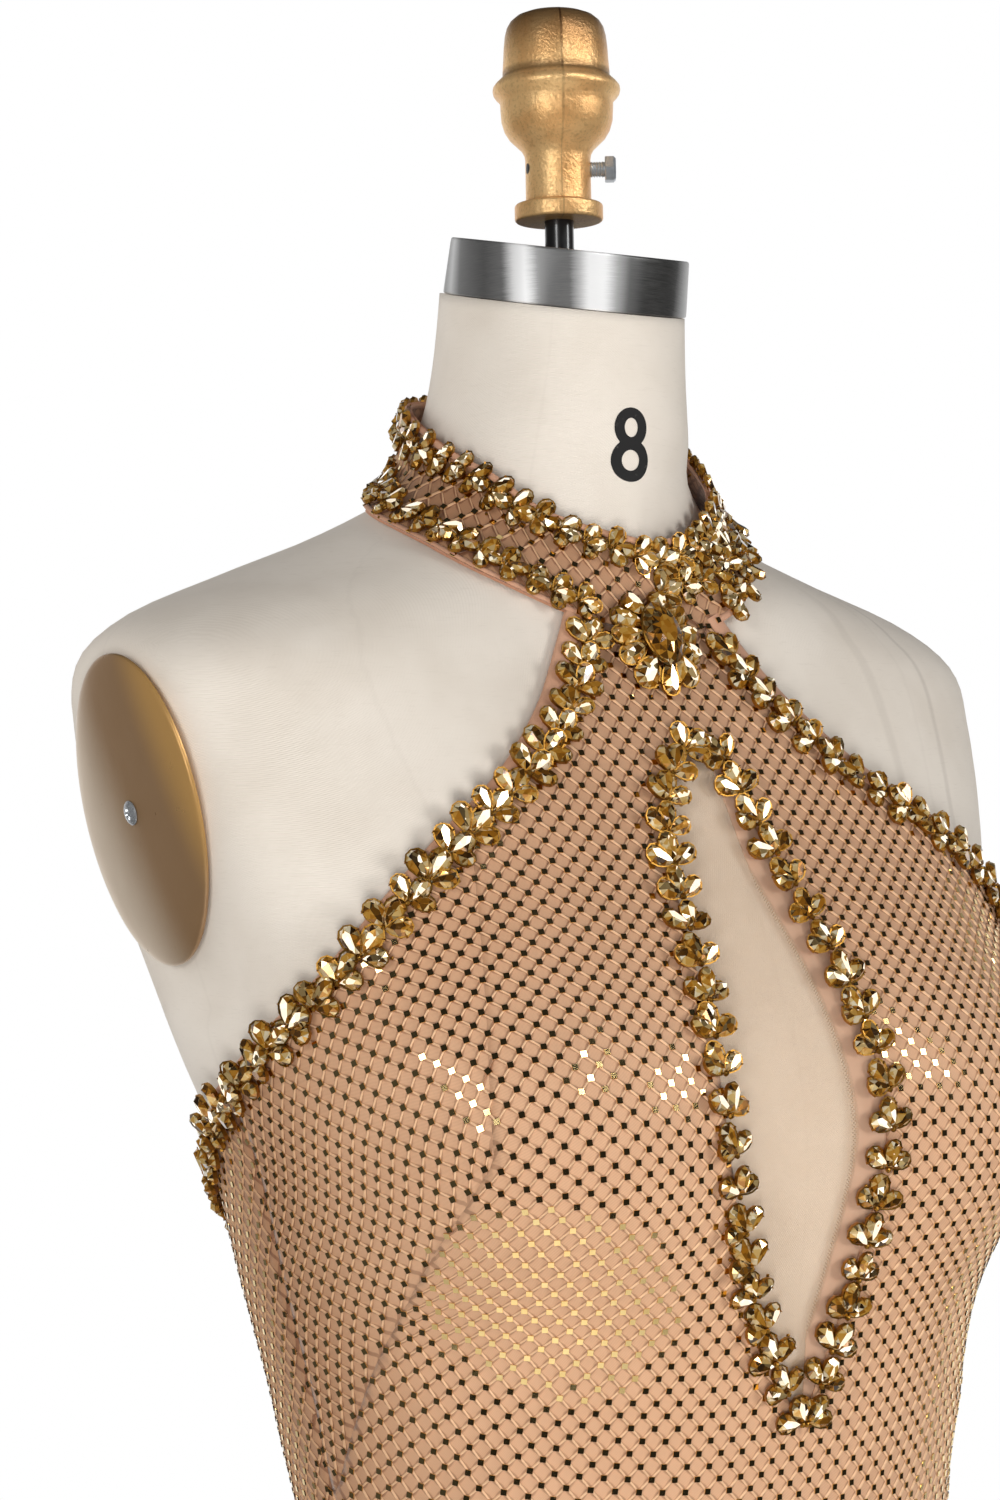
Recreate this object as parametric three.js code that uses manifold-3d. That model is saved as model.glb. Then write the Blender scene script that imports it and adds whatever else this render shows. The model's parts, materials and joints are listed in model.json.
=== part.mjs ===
// A floor-length halter evening gown on its limbless dress form, in millimetres.
// +Z is up, the gown's front faces -Y and the wearer's left is +X.
// The origin is the centre of the stand's flat underside.
// Angles on the figure are in degrees from the centre front, positive towards the wearer's left.
import * as THREE from 'three';
import { mergeVertices } from 'three/addons/utils/BufferGeometryUtils.js';
import Module from 'manifold-3d';

const wasm = await Module();
wasm.setup();

// ---- Driving dimensions -------------------------------------------------------------------
const SEAM_GAP = 0.3; // between pieces that meet
const CLOTH_CLEARANCE = 2.4; // from the form's canvas to the back of the cloth
const CLOTH_THICKNESS = 1.2;
const TRIM_LIFT = 1.6; // from the face of the cloth to the stones' solid
const TRIM_WIDTH = 16;
const COLLAR_TRIM_WIDTH = 13;
const TRIM_HEIGHT = 6;

const FORM_BOTTOM = 770;
const NECK_TOP = 1527; // canvas ends here, under the steel ring
const NECK_TILT = 0.22; // rise of the ring's plane for each millimetre towards the back
const RING_HEIGHT = 21;
const RING_WALL = 2;
const HIP = 860; // the cloth leaves the form here
const WAIST = 1056;
const HEM = 15;

const BUST = { height: 1213, angle: 42, spread: 26, projection: 26, above: 62, below: 46 };
const ARM_PLANE = { x: 176, z: 1338, tilt: 11.6, soften: 9, end: 1268, release: 1.2 };
const ARM_PLATE = { right: 10, left: 18, width: 86, height: 112, dome: 4.5, rim: 1 };

const BASE_RADIUS = 190;
const POLE_RADIUS = 16;
const POST_RADIUS = 5.5;
const POST_FOOT = 1490;
const FINIAL_FOOT = 1558.9;
const SET_BOLT_ANGLE = -35;
const SET_BOLT_HEIGHT = 1578.4;

// Sections of the dress form: half width, and how far front and back stand from the pole's axis.
// The squareness of a half section is 2 for an ellipse, and less for a shoulder's narrow ridge.
const FIGURE = [
  { z: 770, half: 168, front: 120, back: 116, squareFront: 2.2, squareBack: 2.2 },
  { z: 800, half: 174, front: 127, back: 122, squareFront: 2.2, squareBack: 2.2 },
  { z: 870, half: 172, front: 130, back: 122, squareFront: 2.2, squareBack: 2.2 },
  { z: 930, half: 160, front: 127, back: 108, squareFront: 2.15, squareBack: 2.15 },
  { z: 1000, half: 138, front: 121, back: 82, squareFront: 2.1, squareBack: 2.1 },
  { z: 1050, half: 122, front: 119, back: 62, squareFront: 2.1, squareBack: 2.1 },
  { z: 1120, half: 131, front: 127, back: 74, squareFront: 2.1, squareBack: 2.1 },
  { z: 1170, half: 140, front: 131, back: 89, squareFront: 2.1, squareBack: 2.1 },
  { z: 1215, half: 147.5, front: 134, back: 101, squareFront: 2.15, squareBack: 2.15 },
  { z: 1250, half: 160.5, front: 130, back: 106, squareFront: 2.2, squareBack: 2.2 },
  { z: 1290, half: 169.5, front: 115, back: 110, squareFront: 2.3, squareBack: 2.5 },
  { z: 1330, half: 183.5, front: 94, back: 111, squareFront: 2.4, squareBack: 2.55 },
  { z: 1365, half: 190, front: 75, back: 108, squareFront: 2.5, squareBack: 2.55 },
  { z: 1390, half: 189.5, front: 61, back: 102, squareFront: 2.5, squareBack: 2.4 },
  { z: 1408, half: 171, front: 54, back: 96, squareFront: 2, squareBack: 2.15 },
  { z: 1425, half: 128, front: 50, back: 90, squareFront: 1.55, squareBack: 2.45 },
  { z: 1440, half: 89, front: 47, back: 84, squareFront: 1.4, squareBack: 2.3 },
  { z: 1457, half: 58, front: 46, back: 76, squareFront: 1.75, squareBack: 2.05 },
  { z: 1475, half: 51, front: 47, back: 66, squareFront: 2, squareBack: 2 },
  { z: 1500, half: 47, front: 48, back: 54, squareFront: 2, squareBack: 2 },
  { z: 1542, half: 45.5, front: 48, back: 43, squareFront: 2, squareBack: 2 },
];

// Sections of the skirt below the hip, measured like the figure's.
const SKIRT = [
  { z: 15, half: 262, front: 226, back: 274, squareFront: 2, squareBack: 2 },
  { z: 200, half: 214, front: 180, back: 208, squareFront: 2.05, squareBack: 2.05 },
  { z: 350, half: 180, front: 148, back: 164, squareFront: 2.1, squareBack: 2.1 },
  { z: 480, half: 166, front: 133, back: 143, squareFront: 2.15, squareBack: 2.15 },
  { z: 600, half: 169, front: 130, back: 136, squareFront: 2.2, squareBack: 2.2 },
  { z: 700, half: 176, front: 132, back: 133, squareFront: 2.2, squareBack: 2.2 },
  { z: 800, half: 177, front: 131, back: 127, squareFront: 2.2, squareBack: 2.2 },
];

// Soft flutes of the skirt: centre angle, half spread in degrees, depth at the hem and top.
const FLUTES = [
  { angle: -155, spread: 13, depth: 26, top: 640 },
  { angle: -116, spread: 12, depth: 20, top: 560 },
  { angle: -80, spread: 11, depth: 24, top: 650 },
  { angle: -47, spread: 10, depth: 16, top: 500 },
  { angle: -18, spread: 10, depth: 20, top: 600 },
  { angle: 12, spread: 9, depth: 14, top: 480 },
  { angle: 38, spread: 10, depth: 19, top: 590 },
  { angle: 69, spread: 11, depth: 16, top: 530 },
  { angle: 101, spread: 12, depth: 24, top: 640 },
  { angle: 134, spread: 13, depth: 19, top: 550 },
  { angle: 168, spread: 12, depth: 22, top: 660 },
];

// The collar's edges, from the centre front round to the nape. Its lower edge differs by side.
const COLLAR = [
  { angle: 0, right: 1396, left: 1396, upper: 1430 },
  { angle: 25, right: 1404, left: 1406, upper: 1437 },
  { angle: 45, right: 1417, left: 1427, upper: 1451 },
  { angle: 65, right: 1432, left: 1440, upper: 1464 },
  { angle: 90, right: 1446, left: 1450, upper: 1476 },
  { angle: 120, right: 1456, left: 1457, upper: 1487 },
  { angle: 150, right: 1462, left: 1462, upper: 1492 },
  { angle: 180, right: 1464, left: 1464, upper: 1494 },
];
const COLLAR_LIFT = 3; // the upper edge stands this much further from the neck

// The cloth's free edge: from the collar along the armhole, under the arm and down the open back.
// Each height is passed at an angle of its own on the wearer's right and left.
const FREE_EDGE = [
  { z: 1404, right: 25, left: 17 },
  { z: 1386, right: 29.5, left: 22 },
  { z: 1370, right: 33.5, left: 26.5 },
  { z: 1345, right: 41.5, left: 36.5 },
  { z: 1325, right: 49.5, left: 48 },
  { z: 1305, right: 56.5, left: 57 },
  { z: 1279, right: 65.5, left: 66 },
  { z: 1262, right: 73.5, left: 74 },
  { z: 1244, right: 84.5, left: 84.5 },
  { z: 1231, right: 95, left: 95 },
  { z: 1214, right: 104.5, left: 104.5 },
  { z: 1201, right: 116, left: 116 },
  { z: 1183, right: 128, left: 128 },
  { z: 1156, right: 142, left: 142 },
  { z: 1124, right: 159, left: 159 },
  { z: 1103, right: 180, left: 180 },
];
const SIDE_SEAM = 88;
// Columns of the body panels, from the centre front to the side seam and on to the centre back.
const FRONT_COLUMNS = [0, 5, 11, 17, 25, 31, 37, 43, 49, 55, 61, 67, 74, 81, SIDE_SEAM - 0.06];
const BACK_COLUMNS = [SIDE_SEAM + 0.06, 96, 105, 115, 126, 139, 153, 167, 179.9];
const BINDING_WIDTH = 6;
const BINDING_THICKNESS = 1.6;
const BROOCH = { z: 1396, angle: -4 };

// The keyhole's reach to either side of the centre, from its round top to its pointed foot.
const KEYHOLE = [
  { z: 1358, right: 0, left: 0 },
  { z: 1351, right: 13, left: 4.5 },
  { z: 1340, right: 23, left: 7.5 },
  { z: 1322, right: 31, left: 11 },
  { z: 1300, right: 35, left: 17 },
  { z: 1275, right: 37.5, left: 24.5 },
  { z: 1245, right: 40, left: 30 },
  { z: 1222, right: 40, left: 31 },
  { z: 1200, right: 36, left: 27 },
  { z: 1180, right: 29.5, left: 22.5 },
  { z: 1160, right: 21, left: 17 },
  { z: 1140, right: 11.5, left: 9 },
  { z: 1119, right: 0, left: 0 },
];

// The French dart, from the side seam at the waist up to the bust.
const DART = [
  { angle: 86, z: 1101 },
  { angle: 74, z: 1144 },
  { angle: 67, z: 1164 },
  { angle: 58.5, z: 1188 },
  { angle: 52, z: 1206 },
  { angle: 48, z: 1220 },
];

// ---- Materials ----------------------------------------------------------------------------
const finish = (color, roughness, metalness) => ({ color, roughness, metalness });
const CANVAS = finish(0xdfd4c6, 0.9, 0);
const STEEL = finish(0xb9b7b3, 0.3, 1);
const DARK_STEEL = finish(0x2b2b2d, 0.4, 0.8);
const GOLD_PAINT = finish(0xb08a56, 0.4, 0.7);
const NUDE_NET = finish(0xcda383, 0.7, 0);
const NUDE_SHEER = finish(0xd8bd9e, 0.8, 0);
const NUDE_BINDING = finish(0xb98a68, 0.8, 0);
const CRYSTAL = finish(0xc9a14e, 0.2, 0.6);

// ---- Helpers ------------------------------------------------------------------------------
const rad = THREE.MathUtils.degToRad;
const lerp = THREE.MathUtils.lerp;
const clamp = THREE.MathUtils.clamp;
const group = new THREE.Group();

function addPiece(name, geometry, look, parent = group) {
  const mesh = new THREE.Mesh(geometry, new THREE.MeshStandardMaterial(look));
  mesh.name = name;
  parent.add(mesh);
  return mesh;
}

// The value of one column of a table at a given key, on a smooth curve through its rows.
function readTable(table, key, at, column) {
  const last = table.length - 1;
  const rising = table[last][key] > table[0][key];
  const ordered = rising ? table : [...table].reverse();
  const where = clamp(at, ordered[0][key], ordered[last][key]);
  let i = 0;
  while (i < last - 1 && ordered[i + 1][key] < where) i += 1;
  const slope = (k) => {
    const low = ordered[Math.max(k - 1, 0)];
    const high = ordered[Math.min(k + 1, last)];
    return (high[column] - low[column]) / (high[key] - low[key]);
  };
  const span = ordered[i + 1][key] - ordered[i][key];
  const t = (where - ordered[i][key]) / span;
  const start = ordered[i][column] * (2 * t ** 3 - 3 * t ** 2 + 1);
  const end = ordered[i + 1][column] * (3 * t ** 2 - 2 * t ** 3);
  const leaving = slope(i) * span * (t ** 3 - 2 * t ** 2 + t);
  const arriving = slope(i + 1) * span * (t ** 3 - t ** 2);
  return start + end + leaving + arriving;
}

function softMinimum(a, b, softness) {
  const share = clamp(0.5 + (0.5 * (b - a)) / softness, 0, 1);
  return lerp(b, a, share) - softness * share * (1 - share);
}

const turnBetween = (a, b) => ((((a - b + 180) % 360) + 360) % 360) - 180;
const sideOf = (angle) => (angle < 0 ? 'right' : 'left');

// How far the bust stands out of the plain section.
function bustAt(z, angle) {
  const reach = z > BUST.height ? BUST.above : BUST.below;
  const rise = ((z - BUST.height) / reach) ** 2;
  const side = (centre) => Math.exp(-((turnBetween(angle, centre) / BUST.spread) ** 2) - rise);
  return BUST.projection * (side(BUST.angle) + side(-BUST.angle));
}

// How far from the section's centre the flat side of the armhole lies.
function armPlaneAt(z, angle) {
  const slope = Math.tan(rad(ARM_PLANE.tilt));
  const release = Math.max(0, ARM_PLANE.end - z) * ARM_PLANE.release;
  const aside = ARM_PLANE.x + (z - ARM_PLANE.z) * slope + release;
  const across = Math.max(Math.abs(Math.sin(rad(angle))), 0.001);
  return Math.min(aside / across, 1000);
}

function fluteAt(z, angle) {
  let sum = 0;
  for (const flute of FLUTES) {
    const growth = clamp((flute.top - z) / (flute.top - HEM), 0, 1) ** 1.4;
    sum += flute.depth * growth * Math.exp(-((turnBetween(angle, flute.angle) / flute.spread) ** 2));
  }
  return sum;
}

// A point on the round of a table's section, moved out by an extra distance.
function sectionPoint(table, z, angle, extra) {
  const read = (column) => readTable(table, 'z', z, column);
  const deep = (read('front') + read('back')) / 2;
  const centre = (read('front') - read('back')) / 2;
  const power = read(Math.cos(rad(angle)) > 0 ? 'squareFront' : 'squareBack');
  const across = Math.abs(Math.sin(rad(angle))) / read('half');
  const along = Math.abs(Math.cos(rad(angle))) / deep;
  const plain = (across ** power + along ** power) ** (-1 / power);
  const radius = extra + softMinimum(plain + bustAt(z, angle), armPlaneAt(z, angle), ARM_PLANE.soften);
  return new THREE.Vector3(radius * Math.sin(rad(angle)), -centre - radius * Math.cos(rad(angle)), z);
}

const formPoint = (z, angle) => sectionPoint(FIGURE, z, angle, 0);

// What the cloth lies on: the figure down to the hip, and its own sections below.
const CLOTH_FIGURE = [...SKIRT, ...FIGURE.filter((row) => row.z > HIP)];
const drapePoint = (z, angle) => sectionPoint(CLOTH_FIGURE, z, angle, fluteAt(z, angle));

function outward(z, angle) {
  const up = drapePoint(z + 1, angle).sub(drapePoint(z - 1, angle));
  const round = drapePoint(z, angle + 0.4).sub(drapePoint(z, angle - 0.4));
  return round.cross(up).normalize();
}

// A point above the drape, by a distance from its surface.
const above = (z, angle, distance) =>
  drapePoint(z, angle).addScaledVector(outward(z, angle), distance);

const clothBack = CLOTH_CLEARANCE;
const clothFace = CLOTH_CLEARANCE + CLOTH_THICKNESS;

// The angle at which the cloth's face stands a given distance to the side of the centre.
function angleAt(x, z) {
  let low = 0;
  let high = SIDE_SEAM;
  for (let pass = 0; pass < 20; pass += 1) {
    const middle = (low + high) / 2;
    if (above(z, middle, clothFace).x < x) low = middle;
    else high = middle;
  }
  return (low + high) / 2;
}

function meshFrom(points, triangles) {
  const geometry = new THREE.BufferGeometry();
  geometry.setAttribute('position', new THREE.Float32BufferAttribute(points.flatMap((p) => p.toArray()), 3));
  geometry.setIndex(triangles);
  geometry.computeVertexNormals();
  return geometry;
}

// A solid through rings of points, capped at both ends or joined end to end.
function ringSolid(rings, endless = false) {
  const count = rings[0].length;
  const points = rings.flat();
  const triangles = [];
  const bands = endless ? rings.length : rings.length - 1;
  for (let j = 0; j < bands; j += 1) {
    const next = (j + 1) % rings.length;
    for (let i = 0; i < count; i += 1) {
      const a = j * count + i;
      const b = j * count + ((i + 1) % count);
      const c = next * count + ((i + 1) % count);
      const d = next * count + i;
      triangles.push(a, b, c, a, c, d);
    }
  }
  if (endless) return meshFrom(points, triangles);
  const middle = (ring) => ring.reduce((sum, p) => sum.add(p), new THREE.Vector3()).divideScalar(count);
  const first = points.push(middle(rings[0])) - 1;
  const last = points.push(middle(rings[rings.length - 1])) - 1;
  const top = (rings.length - 1) * count;
  for (let i = 0; i < count; i += 1) {
    triangles.push(first, (i + 1) % count, i);
    triangles.push(last, top + i, top + ((i + 1) % count));
  }
  return meshFrom(points, triangles);
}

// A wall between a back and a face, over a grid of columns and rows.
function wallSolid(columns, rows, pointAt) {
  const points = [];
  for (const side of [0, 1]) {
    for (let j = 0; j <= rows; j += 1) {
      for (let i = 0; i <= columns; i += 1) points.push(pointAt(i, j, side));
    }
  }
  const layer = (columns + 1) * (rows + 1);
  const at = (i, j, side) => side * layer + j * (columns + 1) + i;
  const triangles = [];
  const quad = (a, b, c, d) => triangles.push(a, b, c, a, c, d);
  for (let j = 0; j < rows; j += 1) {
    for (let i = 0; i < columns; i += 1) {
      quad(at(i, j, 1), at(i + 1, j, 1), at(i + 1, j + 1, 1), at(i, j + 1, 1));
      quad(at(i, j, 0), at(i, j + 1, 0), at(i + 1, j + 1, 0), at(i + 1, j, 0));
    }
  }
  for (let i = 0; i < columns; i += 1) {
    quad(at(i, 0, 0), at(i + 1, 0, 0), at(i + 1, 0, 1), at(i, 0, 1));
    quad(at(i, rows, 1), at(i + 1, rows, 1), at(i + 1, rows, 0), at(i, rows, 0));
  }
  for (let j = 0; j < rows; j += 1) {
    quad(at(0, j, 0), at(0, j, 1), at(0, j + 1, 1), at(0, j + 1, 0));
    quad(at(columns, j, 1), at(columns, j, 0), at(columns, j + 1, 0), at(columns, j + 1, 1));
  }
  return meshFrom(points, triangles);
}

function toManifold(geometry) {
  const bare = geometry.clone();
  bare.deleteAttribute('normal');
  bare.deleteAttribute('uv');
  const merged = mergeVertices(bare, 1e-4);
  const vertProperties = new Float32Array(merged.attributes.position.array);
  const triVerts = new Uint32Array(merged.index.array);
  return new wasm.Manifold(new wasm.Mesh({ numProp: 3, vertProperties, triVerts }));
}

function fromManifold(solid) {
  const result = solid.getMesh();
  const geometry = new THREE.BufferGeometry();
  geometry.setAttribute('position', new THREE.BufferAttribute(new Float32Array(result.vertProperties), 3));
  geometry.setIndex(new THREE.BufferAttribute(new Uint32Array(result.triVerts), 1));
  geometry.computeVertexNormals();
  return geometry;
}

const lathe = (profile, segments) =>
  new THREE.LatheGeometry(profile.map(([r, z]) => new THREE.Vector2(r, z)), segments).rotateX(Math.PI / 2);

const cylinder = (radius, height, segments) =>
  new THREE.CylinderGeometry(radius, radius, height, segments).rotateX(Math.PI / 2);

// ---- Dress form ---------------------------------------------------------------------------
// A smooth canvas-covered torso with a neck, flat at the armholes and closed at the hip.
const ringTilt = (y, z) => NECK_TILT * y * clamp((z - 1490) / (NECK_TOP - 1490), 0, 1);

function buildForm() {
  const sides = 36;
  const heights = [FORM_BOTTOM, 800, 840, 880, 920, 960, 1000, 1025, 1050, 1080, 1110, 1140];
  for (let z = 1155; z < 1380; z += 15) heights.push(z);
  heights.push(1391, 1402, 1412, 1421, 1429, 1437, 1446, 1456, 1467, 1482, 1500, NECK_TOP);
  const rings = heights.map((z) =>
    Array.from({ length: sides }, (_, i) => {
      const point = formPoint(z, (i * 360) / sides);
      point.z += ringTilt(point.y, z);
      return point;
    }),
  );
  const socketDepth = 80;
  const socket = cylinder(POST_RADIUS + SEAM_GAP, socketDepth, 24);
  socket.translate(0, 0, POST_FOOT - SEAM_GAP + socketDepth / 2);
  addPiece('form_body', fromManifold(toManifold(ringSolid(rings)).subtract(toManifold(socket))), CANVAS);
}

// The brushed steel ring round the top of the neck, and the plate that closes it. Both lean
// forward with the neck: their axis is square to the tilted plane that they stand on.
function buildNeck() {
  const sides = 32;
  const lean = Math.atan(NECK_TILT);
  const centreY = -2.5; // of the ring's foot
  const foot = NECK_TOP + SEAM_GAP;
  const axis = new THREE.Vector3(0, -Math.sin(lean), Math.cos(lean));
  const forward = new THREE.Vector3(0, -Math.cos(lean), -Math.sin(lean));
  const seat = new THREE.Vector3(0, centreY, foot + NECK_TILT * centreY);
  const circle = (radius, height) =>
    Array.from({ length: sides }, (_, i) => {
      const angle = (i * 2 * Math.PI) / sides;
      const across = new THREE.Vector3(radius * Math.sin(angle), 0, 0);
      const point = seat.clone().addScaledVector(axis, height).add(across);
      return point.addScaledVector(forward, radius * Math.cos(angle));
    });
  const outer = 46.2;
  const inner = outer - RING_WALL;
  const taper = 1;
  const outside = [circle(outer, 0), circle(outer - taper, RING_HEIGHT)];
  const inside = [circle(inner - taper, RING_HEIGHT), circle(inner, 0)];
  addPiece('neck_ring', ringSolid([...outside, ...inside], true), STEEL);

  const plateRadius = inner - taper - 0.5;
  const plateDepth = 3.5;
  const plateTop = RING_HEIGHT - 1.5; // a little below the ring's upper edge
  const lid = [circle(plateRadius, plateTop - plateDepth), circle(plateRadius, plateTop)];
  const bore = cylinder(POST_RADIUS + SEAM_GAP, 40, 24).translate(0, 0, foot + RING_HEIGHT);
  const plate = toManifold(ringSolid(lid)).subtract(toManifold(bore));
  addPiece('neck_plate', fromManifold(plate), DARK_STEEL);
}

// A domed oval plate closes each armhole, held by one cross-head screw. The left one sits a little
// further back.
function buildArmPlates() {
  const dome = [[0, 0], [1, 0], [1, ARM_PLATE.rim]];
  const arcSteps = 5;
  for (let i = 1; i < arcSteps; i += 1) {
    const turn = (i / arcSteps) * (Math.PI / 2);
    const rise = (ARM_PLATE.dome - ARM_PLATE.rim) * Math.sin(turn);
    dome.push([Math.cos(turn) ** 0.8, ARM_PLATE.rim + rise]);
  }
  dome.push([0, ARM_PLATE.dome]);
  const standOff = 0.5; // from the flat side of the form to the plate's back
  const screwHead = [[0, 0], [4.4, 0], [4.4, 0.6], [3.2, 1.5], [1.4, 1.9], [0, 2]];
  const slotTurn = 0.3;
  for (const [side, sign] of [['right', -1], ['left', 1]]) {
    const seat = new THREE.Group();
    seat.position.set(sign * ARM_PLANE.x, ARM_PLATE[side], ARM_PLANE.z);
    seat.rotation.set(0, sign * rad(90 + ARM_PLANE.tilt), 0);
    group.add(seat);
    const plate = lathe(dome, 24).scale(ARM_PLATE.height / 2, ARM_PLATE.width / 2, 1);
    addPiece(`arm_plate_${side}`, plate.translate(0, 0, standOff), GOLD_PAINT, seat);

    let screw = toManifold(lathe(screwHead, 12));
    for (const turn of [slotTurn, slotTurn + Math.PI / 2]) {
      const slot = new THREE.BoxGeometry(4.6, 0.9, 2).translate(0, 0, 2).rotateZ(turn);
      screw = screw.subtract(toManifold(slot));
    }
    const lift = standOff + ARM_PLATE.dome + SEAM_GAP;
    addPiece(`arm_plate_screw_${side}`, fromManifold(screw).translate(0, 0, lift), STEEL, seat);
  }
}

// The cast finial clamps on the neck's post with one hexagon bolt.
function buildFinial() {
  const boreDepth = 34;
  const bore = POST_RADIUS + SEAM_GAP;
  const neck = 12.4;
  // Radius and height above the finial's foot.
  const profile = [
    [0, boreDepth], [bore, boreDepth], [bore, 0], [16, 0], [16.8, 1.2], [16.8, 5.4], [15.8, 6.6],
    [neck, 7.6], [neck, 24.5], [13.5, 27], [18.2, 31.3], [21, 36.5], [21.6, 45.5], [23.6, 47.4],
    [24.4, 49.6], [23.8, 51.6], [20.7, 55], [20.2, 58], [19.7, 66], [18.8, 72], [17.2, 75.2],
    [14.4, 77.5], [9.5, 79], [0, 79.6],
  ];
  const bolt = { shank: 3, thread: 5.4, head: 4.2, across: 5.2 };
  const sideways = (geometry) =>
    geometry.rotateY(Math.PI / 2).rotateZ(rad(SET_BOLT_ANGLE)).translate(0, 0, SET_BOLT_HEIGHT);
  const crossHole = sideways(cylinder(bolt.shank + SEAM_GAP, 60, 20));
  const cast = toManifold(lathe(profile, 24).translate(0, 0, FINIAL_FOOT));
  addPiece('finial', fromManifold(cast.subtract(toManifold(crossHole))), GOLD_PAINT);

  const postTop = FINIAL_FOOT + boreDepth - 1;
  const post = cylinder(POST_RADIUS, postTop - POST_FOOT, 24).translate(0, 0, (postTop + POST_FOOT) / 2);
  addPiece('neck_post', post, DARK_STEEL);

  const shankEnd = neck + bolt.thread;
  const shank = cylinder(bolt.shank, shankEnd - bore, 20).translate(0, 0, (bore + shankEnd) / 2);
  const head = cylinder(bolt.across, bolt.head, 6).translate(0, 0, shankEnd + bolt.head / 2 - 0.1);
  addPiece('finial_set_bolt', sideways(fromManifold(toManifold(shank).add(toManifold(head)))), STEEL);
}

// The stand: a round weighted foot, a plain pole and the flange under the form.
function buildStand() {
  const rim = 6; // the foot's height at its edge, before the bevel and the slope up to the pole
  const footTop = 18;
  const slope = [[BASE_RADIUS, rim], [BASE_RADIUS - rim, 9], [40, footTop], [0, footTop]];
  addPiece('stand_base', lathe([[0, 0], [BASE_RADIUS, 0], ...slope], 40), DARK_STEEL);
  const flange = { radius: 60, thickness: 8 };
  const poleTop = FORM_BOTTOM - 2 * SEAM_GAP - flange.thickness;
  const poleFoot = footTop + SEAM_GAP;
  const pole = cylinder(POLE_RADIUS, poleTop - poleFoot, 28).translate(0, 0, (poleTop + poleFoot) / 2);
  addPiece('stand_pole', pole, DARK_STEEL);
  const plate = cylinder(flange.radius, flange.thickness, 36);
  plate.translate(0, 0, FORM_BOTTOM - SEAM_GAP - flange.thickness / 2);
  addPiece('stand_flange', plate, DARK_STEEL);
}

// ---- Gown ---------------------------------------------------------------------------------
// The upper edge of the body panels: under the collar in front, and along the free edge elsewhere.
function panelTop(angle) {
  const turn = Math.abs(angle);
  const side = sideOf(angle);
  if (turn <= FREE_EDGE[0][side]) return readTable(COLLAR, 'angle', turn, side) - 2 * SEAM_GAP;
  return readTable(FREE_EDGE, side, turn, 'z');
}

// Rows of the body panels: from the hem to the hip, the waist and the upper edge.
const PANEL_STRETCHES = [
  { rows: 6, from: HEM, to: HIP },
  { rows: 5, from: HIP, to: WAIST },
  { rows: 17, from: WAIST, to: null },
];
const PANEL_ROWS = PANEL_STRETCHES.reduce((sum, stretch) => sum + stretch.rows, 0);

// A point of a body panel: row 0 is the hem and the last row its upper edge.
function panelPoint(angle, row, side) {
  let left = row;
  let stretch = PANEL_STRETCHES[0];
  for (const next of PANEL_STRETCHES) {
    stretch = next;
    if (left <= next.rows) break;
    left -= next.rows;
  }
  const z = lerp(stretch.from, stretch.to ?? panelTop(angle), left / stretch.rows);
  return above(z, angle, side ? clothFace : clothBack);
}

// One side of the keyhole's outline, drawn in by an inset that grows towards the pointed foot.
function keyholeSide(side, inset) {
  const footInset = 2.5 * inset;
  const corners = KEYHOLE.map((row) => new THREE.Vector2(Math.max(row[side] - inset, 0), row.z));
  corners[0].y -= inset;
  corners[corners.length - 1].y += footInset;
  const sign = side === 'left' ? 1 : -1;
  const points = new THREE.SplineCurve(corners).getPoints(24);
  return points.map((p) => new THREE.Vector2(sign * Math.max(p.x, 0), p.y));
}

// A prism through the front, of the keyhole's outline.
function keyholePrism(inset) {
  const outline = [...keyholeSide('left', inset), ...keyholeSide('right', inset).slice(1, -1).reverse()];
  const depth = 160;
  const start = -40; // in front of the pole's axis, well inside the form
  const prism = new THREE.ExtrudeGeometry(new THREE.Shape(outline), { depth, bevelEnabled: false });
  return toManifold(prism.rotateX(Math.PI / 2).translate(0, start, 0));
}

// A thin upright blade that parts the cloth along the French dart.
function dartBlade(sign) {
  const steps = 8;
  const low = DART[0].angle;
  const high = DART[DART.length - 1].angle;
  const thick = SEAM_GAP / 2;
  const inside = -2;
  const outside = 8;
  const rings = [];
  for (let j = 0; j <= steps; j += 1) {
    const angle = lerp(low, high, j / steps);
    const z = readTable(DART, 'angle', angle, 'z');
    const corner = (rise, distance) => above(z + rise, sign * angle, distance);
    const lowerSide = [corner(-thick, inside), corner(-thick, outside)];
    const ring = [...lowerSide, corner(thick, outside), corner(thick, inside)];
    rings.push(sign > 0 ? ring : ring.reverse());
  }
  return toManifold(ringSolid(rings));
}

function panelSolid(angles) {
  return wallSolid(angles.length - 1, PANEL_ROWS, (i, j, side) => panelPoint(angles[i], j, side));
}

function buildBody() {
  const rightAngles = (angles) => angles.map((angle) => -angle).reverse();
  const whole = toManifold(panelSolid([...rightAngles(FRONT_COLUMNS.slice(1)), ...FRONT_COLUMNS]));
  const darted = whole.subtract(keyholePrism(0)).subtract(dartBlade(1)).subtract(dartBlade(-1));
  addPiece('gown_front', fromManifold(darted), NUDE_NET);
  const netGap = SEAM_GAP + 0.1; // the prism's facets take up the difference
  addPiece('gown_keyhole_net', fromManifold(whole.intersect(keyholePrism(netGap))), NUDE_SHEER);
  addPiece('gown_back_right', panelSolid(rightAngles(BACK_COLUMNS)), NUDE_NET);
  addPiece('gown_back_left', panelSolid(BACK_COLUMNS), NUDE_NET);
}

// A height on the collar, by the share of the way from its lower to its upper edge.
function collarHeight(angle, share) {
  const lower = readTable(COLLAR, 'angle', Math.abs(angle), sideOf(angle));
  const upper = readTable(COLLAR, 'angle', Math.abs(angle), 'upper');
  return lerp(lower, upper, share);
}

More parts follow.
